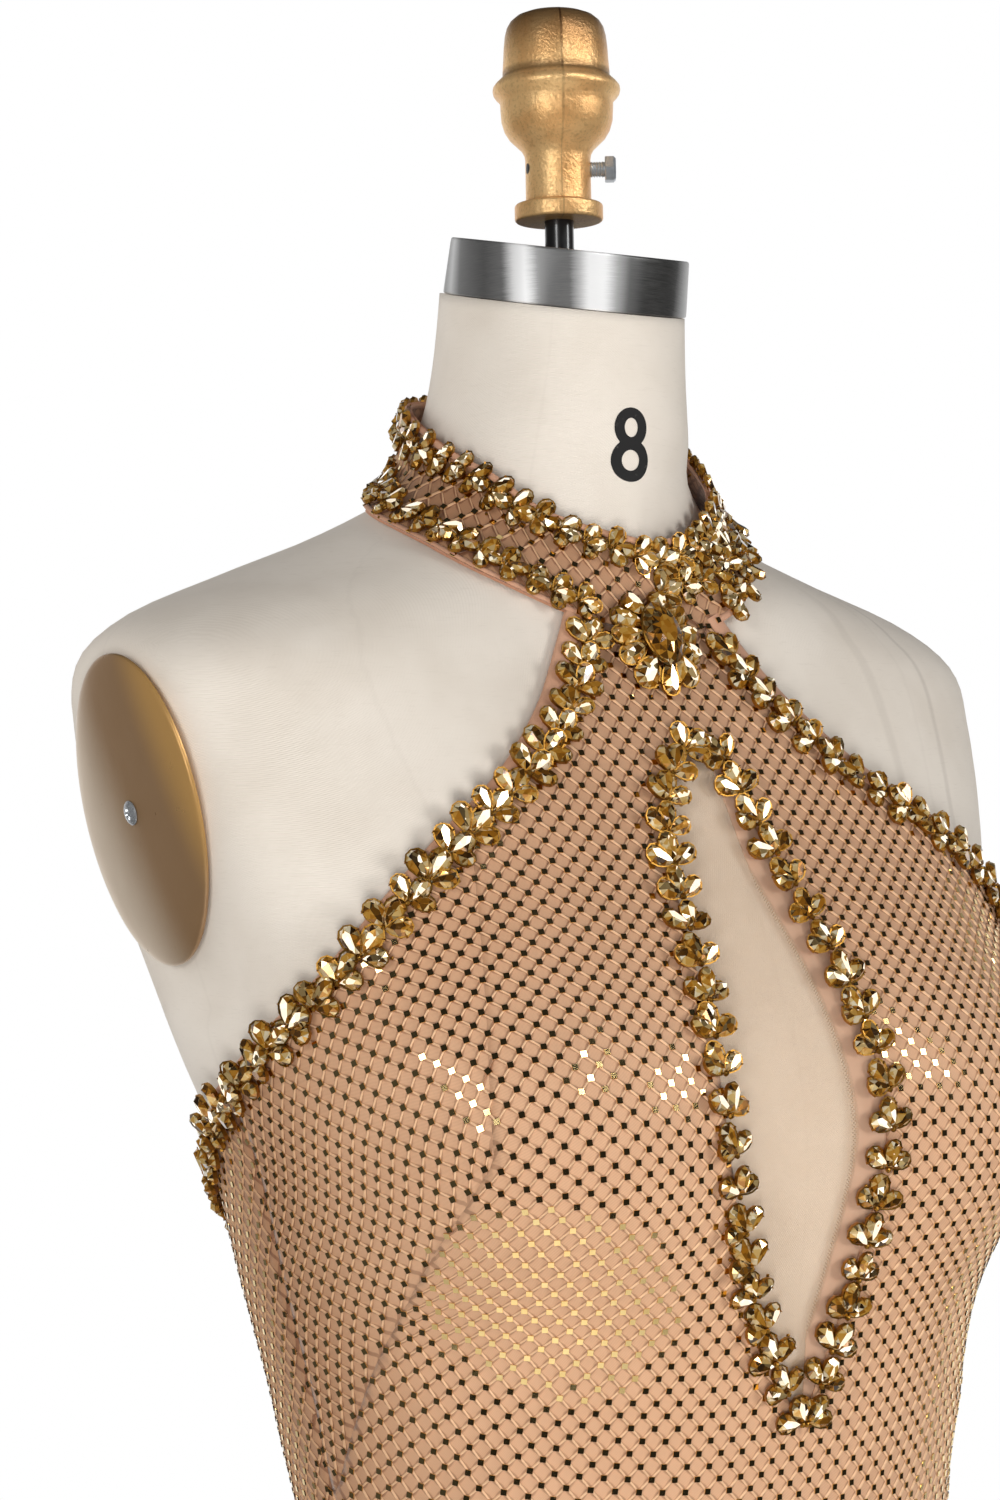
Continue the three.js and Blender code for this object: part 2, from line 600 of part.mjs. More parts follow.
// A point above the collar, which leans away from the neck towards its upper edge.
function collarPoint(z, angle, distance) {
  const lower = collarHeight(angle, 0);
  const share = clamp((z - lower) / (collarHeight(angle, 1) - lower), 0, 1);
  return above(z, angle, distance + COLLAR_LIFT * share ** 2);
}

function buildCollar() {
  const columns = 40;
  const rows = 5;
  const end = 179.7; // a slit is left at the nape
  const collar = wallSolid(columns, rows, (i, j, side) => {
    const angle = lerp(-end, end, i / columns);
    return collarPoint(collarHeight(angle, j / rows), angle, side ? clothFace : clothBack);
  });
  addPiece('gown_collar', collar, NUDE_NET);

  const hook = { width: 11, depth: 1, height: 6, lift: 2.2 };
  for (const [name, share] of [['collar_hook_upper', 0.75], ['collar_hook_lower', 0.25]]) {
    const seat = collarPoint(collarHeight(180, share), 180, clothFace + hook.lift);
    const bar = new THREE.BoxGeometry(hook.width, hook.depth, hook.height);
    addPiece(name, bar.translate(seat.x, seat.y, seat.z), STEEL);
  }
}

// The direction across a path on a surface, as steps of height and angle for each millimetre.
function acrossPath(surface, here, ahead) {
  const origin = surface(here.z, here.angle, 0);
  const along = surface(ahead.z, ahead.angle, 0).sub(origin).normalize();
  const perUp = surface(here.z + 1, here.angle, 0).sub(origin);
  const perTurn = surface(here.z, here.angle + 1, 0).sub(origin);
  const normal = perTurn.clone().cross(perUp).normalize();
  const across = normal.cross(along);
  const uu = perUp.dot(perUp);
  const tt = perTurn.dot(perTurn);
  const ut = perUp.dot(perTurn);
  const fit = uu * tt - ut * ut;
  const up = (across.dot(perUp) * tt - across.dot(perTurn) * ut) / fit;
  const turn = (across.dot(perTurn) * uu - across.dot(perUp) * ut) / fit;
  return { z: up, angle: turn };
}

// The direction across a path at one of its stations.
function acrossStation(surface, path, i) {
  const step = 0.02;
  const here = path[i];
  const before = path[Math.max(i - 1, 0)];
  const after = path[Math.min(i + 1, path.length - 1)];
  const ahead = {
    z: here.z + (after.z - before.z) * step,
    angle: here.angle + (after.angle - before.angle) * step,
  };
  return acrossPath(surface, here, ahead);
}

const stepAside = (here, across, aside) => ({
  z: here.z + across.z * aside,
  angle: here.angle + across.angle * aside,
});

// A strip along a path on a surface. Its section is a list of [across, above] pairs.
function stripSolid(surface, path, section, limit = (spot) => spot) {
  const rings = path.map((here, i) => {
    const across = acrossStation(surface, path, i);
    return section.map(([aside, height]) => {
      const spot = limit(stepAside(here, across, aside));
      return surface(spot.z, spot.angle, height);
    });
  });
  return ringSolid(rings);
}

// A path moved sideways on a surface, positive to the left of its run.
const movedPath = (surface, path, aside) =>
  path.map((here, i) => stepAside(here, acrossStation(surface, path, i), aside));

// The section of a row of stones, on its flat back.
function stoneSection(width, foot) {
  const half = width / 2;
  const shoulder = width * 0.36;
  const shoulderTop = foot + TRIM_HEIGHT * 0.7;
  const crown = [[shoulder, shoulderTop], [0, foot + TRIM_HEIGHT], [-shoulder, shoulderTop]];
  return [[half, foot], ...crown, [-half, foot], [0, foot]];
}

const faceTrim = clothFace + TRIM_LIFT;
const mirrorSection = (section) => section.map(([aside, height]) => [-aside, height]).reverse();

// Stations spread evenly along one side's free edge.
function freeEdgePath(side, sign, steps) {
  const corners = FREE_EDGE.map((row) => new THREE.Vector2(row[side], row.z));
  return new THREE.SplineCurve(corners).getSpacedPoints(steps).map((p) => ({ angle: sign * p.x, z: p.y }));
}

// A narrow binding and a band of stones follow the free edge on each side.
function buildFreeEdges() {
  const outer = SEAM_GAP + BINDING_WIDTH;
  const bindingFace = clothBack + BINDING_THICKNESS;
  const binding = [[outer, clothBack], [outer, bindingFace], [SEAM_GAP, bindingFace], [SEAM_GAP, clothBack]];
  const stones = stoneSection(TRIM_WIDTH, faceTrim);
  const stonesInset = 6; // from the cloth's edge to the middle of the stones
  const collarRoom = 12; // the stones start this far below the collar
  const backEnd = 179.85;
  for (const [side, sign] of [['right', -1], ['left', 1]]) {
    const limit = (spot) => ({ z: spot.z, angle: sign * Math.min(sign * spot.angle, backEnd) });
    const corners = [...FRONT_COLUMNS, ...BACK_COLUMNS].filter((angle) => angle > FREE_EDGE[0][side] + 1);
    const hemline = corners.map((angle) => ({ angle: sign * angle, z: panelTop(sign * angle) }));
    const tape = sign > 0 ? binding : mirrorSection(binding);
    addPiece(`binding_${side}`, stripSolid(above, hemline, tape, limit), NUDE_BINDING);
    const edge = movedPath(above, freeEdgePath(side, sign, 46), -sign * stonesInset);
    const centred = edge.filter((spot) => spot.z < FREE_EDGE[0].z - collarRoom);
    addPiece(`trim_armhole_${side}`, stripSolid(above, centred, stones, limit), CRYSTAL);
  }
}

// Two rows of stones on the collar. The lower one stops at the brooch.
function buildCollarTrims() {
  const stones = stoneSection(COLLAR_TRIM_WIDTH, faceTrim);
  const row = (from, to, steps, share) =>
    Array.from({ length: steps + 1 }, (_, i) => {
      const angle = lerp(from, to, i / steps);
      return { angle, z: collarHeight(angle, share) };
    });
  const nape = 171;
  const broochEdge = 27;
  addPiece('trim_collar_upper', stripSolid(collarPoint, row(-nape, nape, 36, 0.8), stones), CRYSTAL);
  for (const [side, from, to] of [['right', -nape, -broochEdge], ['left', broochEdge, nape]]) {
    addPiece(`trim_collar_lower_${side}`, stripSolid(collarPoint, row(from, to, 16, 0.2), stones), CRYSTAL);
  }
}

// A band of stones down each side of the keyhole.
function buildKeyholeTrims() {
  const stones = stoneSection(TRIM_WIDTH, faceTrim);
  const midline = 0.2;
  for (const [side, sign] of [['right', -1], ['left', 1]]) {
    const outline = new THREE.SplineCurve(KEYHOLE.map((row) => new THREE.Vector2(row[side], row.z)));
    const spots = outline.getSpacedPoints(26);
    const path = spots.map((p) => ({ angle: sign * angleAt(Math.max(p.x, 0), p.y), z: p.y }));
    const limit = (spot) => ({ z: spot.z, angle: sign * Math.max(sign * spot.angle, midline) });
    addPiece(`trim_keyhole_${side}`, stripSolid(above, path, stones, limit), CRYSTAL);
  }
}

// The stone cluster where the collar meets the body.
function buildBrooch() {
  const profile = [[0, 0], [17, 0], [17, 2], [14, 6], [8, 9], [0, 10]];
  const lift = 5;
  const facing = outward(BROOCH.z, BROOCH.angle);
  const brooch = addPiece('brooch', lathe(profile, 20), CRYSTAL);
  brooch.quaternion.setFromUnitVectors(new THREE.Vector3(0, 0, 1), facing);
  brooch.position.copy(above(BROOCH.z, BROOCH.angle, clothFace + lift));
}

buildForm();
buildNeck();
buildArmPlates();
buildFinial();
buildStand();
buildBody();
buildCollar();
buildFreeEdges();
buildCollarTrims();
buildKeyholeTrims();
buildBrooch();

export default group;
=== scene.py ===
# A floor-length halter evening gown of mirror net on its limbless dress form.
# Sizes are in millimetres and angles in degrees from the centre front, positive to the wearer's left.
import json
import math

import bmesh
import bpy
import numpy as np
from mathutils import Euler, Matrix, Vector

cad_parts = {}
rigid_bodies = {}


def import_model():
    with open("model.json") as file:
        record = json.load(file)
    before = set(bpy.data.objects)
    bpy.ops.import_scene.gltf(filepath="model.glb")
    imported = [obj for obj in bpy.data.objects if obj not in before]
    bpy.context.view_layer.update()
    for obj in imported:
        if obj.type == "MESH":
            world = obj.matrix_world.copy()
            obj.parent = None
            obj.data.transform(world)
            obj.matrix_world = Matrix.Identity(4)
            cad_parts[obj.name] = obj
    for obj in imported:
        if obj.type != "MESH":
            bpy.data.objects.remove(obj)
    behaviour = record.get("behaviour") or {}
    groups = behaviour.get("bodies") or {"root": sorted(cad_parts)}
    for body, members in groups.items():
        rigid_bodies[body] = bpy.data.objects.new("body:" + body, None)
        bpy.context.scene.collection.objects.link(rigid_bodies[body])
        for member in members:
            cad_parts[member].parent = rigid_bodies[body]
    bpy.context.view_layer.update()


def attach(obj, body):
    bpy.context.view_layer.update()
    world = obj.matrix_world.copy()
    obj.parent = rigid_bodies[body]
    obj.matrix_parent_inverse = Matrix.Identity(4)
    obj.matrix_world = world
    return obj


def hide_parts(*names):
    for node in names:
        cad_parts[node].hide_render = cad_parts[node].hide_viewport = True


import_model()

# ---- Canvas torso ---------------------------------------------------------------------------
# The form is a moulded shell under stretched cotton canvas, sewn in princess panels with its
# size printed at the throat. The gown takes its shape from it, so its sections come first.
MM = 0.001


class Table:
    """Rows of numbers under named columns, read on a smooth curve through the rows."""

    def __init__(self, columns, rows):
        self.columns = columns.split()
        self.rows = np.array(rows, float)

    def column(self, name):
        return self.rows[:, self.columns.index(name)]

    def read(self, key, at, name):
        order = np.argsort(self.column(key))
        keys, values = self.column(key)[order], self.column(name)[order]
        at = np.clip(np.asarray(at, float), keys[0], keys[-1])
        i = np.clip(np.searchsorted(keys, at) - 1, 0, len(keys) - 2)
        here, last = np.arange(len(keys)), len(keys) - 1
        before, after = np.maximum(here - 1, 0), np.minimum(here + 1, last)
        slopes = (values[after] - values[before]) / (keys[after] - keys[before])
        span = keys[i + 1] - keys[i]
        t = (at - keys[i]) / span
        ends = values[i] * (2 * t**3 - 3 * t**2 + 1) + values[i + 1] * (3 * t**2 - 2 * t**3)
        return ends + span * (slopes[i] * (t**3 - 2 * t**2 + t) + slopes[i + 1] * (t**3 - t**2))


FIGURE = Table("z half front back square_front square_back", [
    (770, 168, 120, 116, 2.2, 2.2),
    (800, 174, 127, 122, 2.2, 2.2),
    (870, 172, 130, 122, 2.2, 2.2),
    (930, 160, 127, 108, 2.15, 2.15),
    (1000, 138, 121, 82, 2.1, 2.1),
    (1050, 122, 119, 62, 2.1, 2.1),
    (1120, 131, 127, 74, 2.1, 2.1),
    (1170, 140, 131, 89, 2.1, 2.1),
    (1215, 147.5, 134, 101, 2.15, 2.15),
    (1250, 160.5, 130, 106, 2.2, 2.2),
    (1290, 169.5, 115, 110, 2.3, 2.5),
    (1330, 183.5, 94, 111, 2.4, 2.55),
    (1365, 190, 75, 108, 2.5, 2.55),
    (1390, 189.5, 61, 102, 2.5, 2.4),
    (1408, 171, 54, 96, 2, 2.15),
    (1425, 128, 50, 90, 1.55, 2.45),
    (1440, 89, 47, 84, 1.4, 2.3),
    (1457, 58, 46, 76, 1.75, 2.05),
    (1475, 51, 47, 66, 2, 2),
    (1500, 47, 48, 54, 2, 2),
    (1542, 45.5, 48, 43, 2, 2),
])
BUST = dict(height=1213, angle=42, spread=26, projection=26, above=62, below=46)
ARM_PLANE = dict(x=176, z=1338, tilt=11.6, soften=9, end=1268, release=1.2)
FORM_BOTTOM, NECK_TOP, NECK_TILT = 770, 1527, 0.22
# Where the sections get closer, where the neck starts to lean, and the seam round the neck's foot.
TORSO = dict(fine_from=1150, lean_from=1490, neck_seam=1445)


def turn_between(a, b):
    return (a - b + 180) % 360 - 180


def soft_step(low, high, value):
    t = np.clip((value - low) / (high - low), 0, 1)
    return t * t * (3 - 2 * t)


def section_points(table, z, angle, extra=0.0):
    """Points on the round of a table's sections, moved out by an extra distance."""
    z, angle = np.broadcast_arrays(np.asarray(z, float), np.asarray(angle, float))
    sine, cosine = np.sin(np.radians(angle)), np.cos(np.radians(angle))
    front, back = table.read("z", z, "front"), table.read("z", z, "back")
    square_front, square_back = table.read("z", z, "square_front"), table.read("z", z, "square_back")
    power = np.where(cosine > 0, square_front, square_back)
    across = np.abs(sine) / table.read("z", z, "half")
    along = np.abs(cosine) / ((front + back) / 2)
    plain = (across**power + along**power) ** (-1 / power)
    reach = np.where(z > BUST["height"], BUST["above"], BUST["below"])
    for side in (-1, 1):
        turn = turn_between(angle, side * BUST["angle"]) / BUST["spread"]
        plain = plain + BUST["projection"] * np.exp(-turn**2 - ((z - BUST["height"]) / reach) ** 2)
    release = np.maximum(0, ARM_PLANE["end"] - z) * ARM_PLANE["release"]
    aside = ARM_PLANE["x"] + (z - ARM_PLANE["z"]) * math.tan(math.radians(ARM_PLANE["tilt"])) + release
    plane = np.minimum(aside / np.maximum(np.abs(sine), 0.001), 1000)
    share = np.clip(0.5 + 0.5 * (plane - plain) / ARM_PLANE["soften"], 0, 1)
    radius = extra + plane + (plain - plane) * share - ARM_PLANE["soften"] * share * (1 - share)
    return np.stack([radius * sine, (back - front) / 2 - radius * cosine, z], -1)


def grid_faces(rows, columns, closed=False):
    """Quads over a grid of points laid row by row. A closed grid joins its last column to its first."""
    i, j = np.meshgrid(np.arange(columns if closed else columns - 1), np.arange(rows - 1))
    right = (i + 1) % columns
    quads = [j * columns + i, j * columns + right, (j + 1) * columns + right, (j + 1) * columns + i]
    return np.stack(quads, -1).reshape(-1, 4)


def capped_faces(rows, columns):
    """The faces of a closed grid, with its first and last rows filled in."""
    ends = np.arange(columns)
    return [*grid_faces(rows, columns, closed=True).tolist(), ends[::-1].tolist(),
            ((rows - 1) * columns + ends).tolist()]


def add_mesh(name, points, faces, smooth=True):
    """A mesh object from points in millimetres."""
    mesh = bpy.data.meshes.new(name)
    mesh.from_pydata((np.asarray(points, float) * MM).tolist(), [], [list(map(int, f)) for f in faces])
    mesh.polygons.foreach_set("use_smooth", [smooth] * len(mesh.polygons))
    mesh.update()
    piece = bpy.data.objects.new(name, mesh)
    bpy.context.scene.collection.objects.link(piece)
    return piece


def set_attribute(piece, name, values, kind="FLOAT", domain="POINT"):
    attribute = piece.data.attributes.new(name, kind, domain)
    part = "value" if kind == "FLOAT" else "vector"
    attribute.data.foreach_set(part, np.asarray(values, np.float32).ravel())


def finish_piece(piece, material, slot, *replaced):
    """Gives a piece its finish, its body and the CAD nodes that it stands for."""
    piece.data.materials.clear()
    piece.data.materials.append(material)
    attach(piece, "root")
    if replaced:
        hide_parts(*replaced)
    return piece


class Wire:
    """An output of a node. Arithmetic on it adds Math nodes to its tree."""

    def __init__(self, tree, socket):
        self.tree, self.socket = tree, socket

    def output(self, name):
        return Wire(self.tree, self.socket.node.outputs[name])

    def math(self, operation, *others):
        return self.tree.add("ShaderNodeMath", dict(operation=operation), dict(enumerate((self, *others))))

    def __add__(self, other):
        return self.math("ADD", other)

    def __sub__(self, other):
        return self.math("SUBTRACT", other)

    def __mul__(self, other):
        return self.math("MULTIPLY", other)

    def __truediv__(self, other):
        return self.math("DIVIDE", other)

    def __pow__(self, other):
        return self.math("POWER", other)

    def __rsub__(self, other):
        return self.tree.add("ShaderNodeMath", dict(operation="SUBTRACT"), {0: other, 1: self})

    __radd__ = __add__
    __rmul__ = __mul__

    def step(self, low, high):
        """Rises smoothly from 0 to 1 between two values."""
        ends = {"Value": self, "From Min": low, "From Max": high}
        return self.tree.add("ShaderNodeMapRange", dict(interpolation_type="SMOOTHSTEP"), ends)


class Tree:
    """Adds nodes to a node tree: a type, its settings, then the values or links of its inputs."""

    def __init__(self, nodes):
        self.nodes = nodes

    def add(self, kind, settings=None, inputs=None, output=0):
        node = self.nodes.nodes.new(kind)
        for name, value in (settings or {}).items():
            if name == "stops":
                self.set_stops(node.color_ramp, value)
            else:
                setattr(node, name, value)
        for key, value in (inputs or {}).items():
            if isinstance(value, Wire):
                self.nodes.links.new(value.socket, node.inputs[key])
            else:
                node.inputs[key].default_value = value
        return Wire(self, node.outputs[output]) if node.outputs else node

    def split(self, vector):
        """The X, Y and Z of a vector."""
        parts = self.add("ShaderNodeSeparateXYZ", {}, {0: vector})
        return [parts.output(axis) for axis in "XYZ"]

    def vector(self, operation, *ends):
        return self.add("ShaderNodeVectorMath", dict(operation=operation), dict(enumerate(ends)))

    def number(self, name):
        """A number that the mesh carries."""
        return self.add("ShaderNodeAttribute", dict(attribute_name=name), output="Fac")

    def join(self, parts):
        """Joins pieces of geometry, kept in the order given."""
        joined = self.add("GeometryNodeJoinGeometry", {}, {0: parts[-1]})
        for part in parts[-2::-1]:
            self.nodes.links.new(part.socket, joined.socket.node.inputs[0])
        return joined

    @staticmethod
    def set_stops(ramp, stops):
        while len(ramp.elements) < len(stops):
            ramp.elements.new(1)
        for element, (place, colour) in zip(ramp.elements, stops):
            element.position = place
            element.color = (*colour, 1)

    def mix(self, factor, first, second):
        """A colour between two colours."""
        colours = [end if isinstance(end, Wire) else (*end, 1) for end in (first, second)]
        ends = {0: factor, 6: colours[0], 7: colours[1]}
        return self.add("ShaderNodeMix", dict(data_type="RGBA"), ends, output=2)


def rgb(red, green, blue):
    """A colour given as it shows on a screen, from 0 to 255, as the linear values that nodes use."""
    shares = (red / 255, green / 255, blue / 255)
    return tuple(c / 12.92 if c <= 0.0404 else ((c + 0.055) / 1.055) ** 2.4 for c in shares)


def new_material(name, **constants):
    """A material, its tree, its Principled shader with constant sockets set, and the place on the piece."""
    material = bpy.data.materials.new(name)
    material.use_nodes = True
    shader = material.node_tree.nodes["Principled BSDF"]
    for socket, value in constants.items():
        shader.inputs[socket.replace("_", " ")].default_value = value
    tree = Tree(material.node_tree)
    return material, tree, shader, tree.add("ShaderNodeTexCoord").output("Object")


def connect(shader, **wires):
    for socket, wire in wires.items():
        wire.tree.nodes.links.new(wire.socket, shader.inputs[socket.replace("_", " ")])


def noise(tree, where, scale, detail=3.0, roughness=0.5):
    ends = {"Vector": where, "Scale": scale, "Detail": detail, "Roughness": roughness}
    return tree.add("ShaderNodeTexNoise", {}, ends)


def bump(tree, height, distance, strength=1.0, normal=None):
    ends = {"Height": height, "Distance": distance, "Strength": strength}
    if normal is not None:
        ends["Normal"] = normal
    return tree.add("ShaderNodeBump", {}, ends)


def canvas_material():
    """Natural cotton canvas: a plain weave, faint slubs and thin seams between the panels."""
    material, tree, shader, where = new_material(
        "canvas", Roughness=0.92, Sheen_Weight=0.12, Sheen_Roughness=0.5)
    x, y, height = tree.split(where)
    panel = tree.number("panel")
    panel_width, thread = 62, 7000.0
    off_seam = (panel - panel.math("ROUND")).math("ABSOLUTE") * panel_width
    seam = 1 - off_seam.step(0.1, 0.8)
    mottle = noise(tree, where, 22)
    slub = noise(tree, tree.add("ShaderNodeMapping", {}, {"Vector": where, "Scale": (1, 1, 9)}), 160, 2)
    cloth = tree.mix(mottle.step(0.35, 0.7), rgb(236, 226, 213), rgb(227, 216, 202))
    cloth = tree.mix(slub.step(0.55, 0.8) * 0.16, cloth, rgb(202, 190, 174))
    # Over the left shoulder the pressed-open seam shows through as a flat band.
    shoulder = x.step(0.085, 0.1) * (1 - height.step(1.42, 1.435))
    band = (1 - off_seam.step(6.6, 8.2)) * shoulder
    band_edge = (1 - (off_seam - 7.4).math("ABSOLUTE").step(0.3, 1.5)) * shoulder
    cloth = tree.mix(band_edge * 0.16, cloth, rgb(160, 148, 136))
    connect(shader, Base_Color=tree.mix(seam * 0.05, cloth, rgb(168, 155, 140)))
    weave = ((x + y) * thread).math("SINE") * (height * thread).math("SINE")
    fine = bump(tree, weave, 0.00006, 0.5)
    puckers = bump(tree, mottle, 0.0004, 0.3, bump(tree, band, 0.0004, 0.5, fine))
    connect(shader, Normal=bump(tree, seam, -0.0001, 0.25, puckers))
    return material


def build_torso():
    fine_from, lean_from = TORSO["fine_from"], TORSO["lean_from"]
    heights = [np.linspace(FORM_BOTTOM, fine_from, 36, endpoint=False), np.linspace(fine_from, NECK_TOP, 84)]
    z, angle = np.meshgrid(np.concatenate(heights), np.arange(0, 360, 2), indexing="ij")
    points = section_points(FIGURE, z, angle)
    points[..., 2] += NECK_TILT * points[..., 1] * np.clip((z - lean_from) / (NECK_TOP - lean_from), 0, 1)
    # Panel seams: centre front, princess, side, back princess and centre back.
    princess = np.interp(z, [770, 1056, 1213, 1330, 1400, 1440], [28, 30, 42, 52, 62, 78])
    back_princess = np.interp(z, [770, 1056, 1330, 1400, 1440], [148, 150, 142, 128, 104])
    turn = np.abs(turn_between(angle, 0))
    edges = [0 * z, princess, 0 * z + 90, back_princess, 0 * z + 180]
    panel = sum(np.clip((turn - low) / (high - low), 0, 1) for low, high in zip(edges, edges[1:]))
    torso = add_mesh("form_canvas", points.reshape(-1, 3), capped_faces(*z.shape))
    set_attribute(torso, "panel", panel + (z > TORSO["neck_seam"]) * 0.5)
    finish_piece(torso, canvas_material(), "canvas", "form_body")


build_torso()

# The size printed in black on the throat: a plain bold numeral.
NUMERAL = dict(x=-2.5, z=1469, lift=0.12)


def trim_sheet(points, faces, keep):
    """Cuts a sheet along the line where keep is nought, and leaves the side where it is positive."""
    values = [tuple(v) for v in points]
    keep = list(map(float, keep))
    cuts, kept = {}, []

    def cut(a, b):
        key = (min(a, b), max(a, b))
        if key not in cuts:
            share = keep[a] / (keep[a] - keep[b])
            cuts[key] = len(values)
            values.append(tuple(p + (q - p) * share for p, q in zip(values[a], values[b])))
        return cuts[key]

    for face in faces:
        face = list(map(int, face))
        corners = []
        for k, a in enumerate(face):
            b = face[(k + 1) % len(face)]
            if keep[a] > 0:
                corners.append(a)
            if (keep[a] > 0) != (keep[b] > 0):
                corners.append(cut(a, b))
        if len(corners) > 2:
            kept.append(corners)
    used = sorted({v for face in kept for v in face})
    place = {v: k for k, v in enumerate(used)}
    return np.array([values[v] for v in used]), [[place[v] for v in face] for face in kept]


def build_numeral():
    # Each bowl of the figure: height of its centre, and the half width and height of ring and counter.
    bowls = [(6.2, 7.0, 7.3, 2.8, 3.5), (-5.8, 8.1, 7.9, 3.7, 3.8)]
    u, v = np.meshgrid(np.linspace(-9, 9, 46), np.linspace(-15, 15, 76))
    inked = np.full(u.shape, -9.0)
    oval = lambda centre, wide, tall: np.hypot(u / wide, (v - centre) / tall) - 1
    for centre, wide, tall, hole_wide, hole_tall in bowls:
        hole = oval(centre, hole_wide, hole_tall) * hole_wide
        inked = np.maximum(inked, np.minimum(-oval(centre, wide, tall) * wide, hole))
    for centre, _, _, hole_wide, hole_tall in bowls:
        inked = np.minimum(inked, oval(centre, hole_wide, hole_tall) * hole_wide)
    flat = np.stack([u, v], -1).reshape(-1, 2)
    flat, faces = trim_sheet(flat, grid_faces(*u.shape), inked.ravel())
    z = NUMERAL["z"] + flat[:, 1]
    deep = (FIGURE.read("z", z, "front") + FIGURE.read("z", z, "back")) / 2
    angle = np.degrees(np.arcsin((NUMERAL["x"] + flat[:, 0]) / deep))
    numeral = add_mesh("size_numeral", section_points(FIGURE, z, angle, NUMERAL["lift"]), faces)
    material, tree, shader, where = new_material("numeral_ink", Roughness=0.75)
    worn = noise(tree, where, 420, 4).step(0.62, 0.75)
    connect(shader, Base_Color=tree.mix(worn * 0.5, rgb(30, 29, 29), rgb(92, 88, 84)))
    finish_piece(numeral, material, "dark_steel")


build_numeral()

# ---- Neck ring and plate --------------------------------------------------------------------
# A spun band of brushed steel closes the top of the neck. A dark plate lies just below its edge.
RING = dict(outer=46.2, taper=1, wall=2, height=21, gap=0.3, centre_y=-2.5, plate_drop=1.5, plate_depth=3.5)


def lathe(name, profile, sides, move=None):
    """A turned mesh from pairs of radius and height. Radii of nought make poles."""
    points, rings = [], []
    for radius, height in profile:
        if radius < 0.001:
            rings.append([len(points)] * sides)
            points.append((0, 0, height))
            continue
        rings.append(list(range(len(points), len(points) + sides)))
        turns = [2 * math.pi * i / sides for i in range(sides)]
        points += [(radius * math.sin(turn), -radius * math.cos(turn), height) for turn in turns]
    faces = []
    for low, high in zip(rings, rings[1:]):
        for i in range(sides):
            k = (i + 1) % sides
            corners = list(dict.fromkeys((low[i], low[k], high[k], high[i])))
            if len(corners) > 2:
                faces.append(corners)
    points = np.array([move(*p) if move else p for p in points], float)
    return add_mesh(name, points, faces)


def sharpen(piece, degrees=32):
    """Marks the edges of a smooth mesh that turn more than an angle."""
    shape = bmesh.new()
    shape.from_mesh(piece.data)
    bmesh.ops.recalc_face_normals(shape, faces=shape.faces)
    for edge in shape.edges:
        edge.smooth = not edge.is_manifold or edge.calc_face_angle(0) < math.radians(degrees)
    shape.to_mesh(piece.data)
    shape.free()
    return piece


def arc(centre, radius, start, end, steps):
    """Points of a rounded corner, as pairs of radius and height."""
    turns = np.radians(np.linspace(start, end, steps))
    return [(centre[0] + radius * math.cos(t), centre[1] + radius * math.sin(t)) for t in turns]


def brushed_steel():
    """Steel turned and brushed round the ring. The broad lighter and darker bands down it are painted
    reflections in its colour.
    """
    material, tree, shader, where = new_material("brushed_steel", Metallic=0.15)
    drawn_out = tree.add("ShaderNodeMapping", {}, {"Vector": where, "Scale": (1, 1, 70)})
    lines, cloud = noise(tree, drawn_out, 130, 4, 0.7), noise(tree, where, 35)
    x, y, _ = tree.split(where)
    round_ring = x.math("ARCTAN2", y * -1) * (0.5 / math.pi) + 0.5
    # How light the painted reflections are, as they follow each other round the ring.
    painted_reflection_greys = [
        (0.0, 120), (0.08, 90), (0.17, 214), (0.195, 96), (0.225, 196), (0.25, 116), (0.3, 76), (0.33, 104),
        (0.345, 236), (0.36, 255), (0.376, 120), (0.388, 84), (0.414, 100), (0.426, 190), (0.436, 250),
        (0.456, 255), (0.472, 168), (0.488, 84), (0.51, 28), (0.57, 24), (0.595, 128), (0.64, 186), (0.8, 90),
    ]
    stops = [(place, rgb(level, level, level)) for place, level in painted_reflection_greys]
    # Painted reflections: bands of grey set round the ring as its base colour, crossed by the brushed lines.
    painted_reflections = tree.add("ShaderNodeValToRGB", dict(stops=stops), {"Fac": round_ring + (lines - 0.5) * 0.016})
    shade = tree.mix(lines.step(0.3, 0.7) * 0.12, painted_reflections, rgb(196, 194, 190))
    connect(shader, Base_Color=shade, Roughness=0.27 + lines * 0.1 + cloud * 0.06)
    connect(shader, Normal=bump(tree, lines, 0.00001, 0.5))
    return material


def worn_finish(name, dark, light, wear, rough, grain=None, **constants):
    """A finish that wear takes from a dark to a light tone, and makes rougher. Wear is a noise's settings,
    rough the least roughness and how much it rises, and grain a bump's distance and strength."""
    material, tree, shader, where = new_material(name, **constants)
    cloud = noise(tree, where, *wear)
    connect(shader, Base_Color=tree.mix(cloud, dark, light), Roughness=rough[0] + cloud * rough[1])
    if grain:
        connect(shader, Normal=bump(tree, cloud, *grain))
    return material


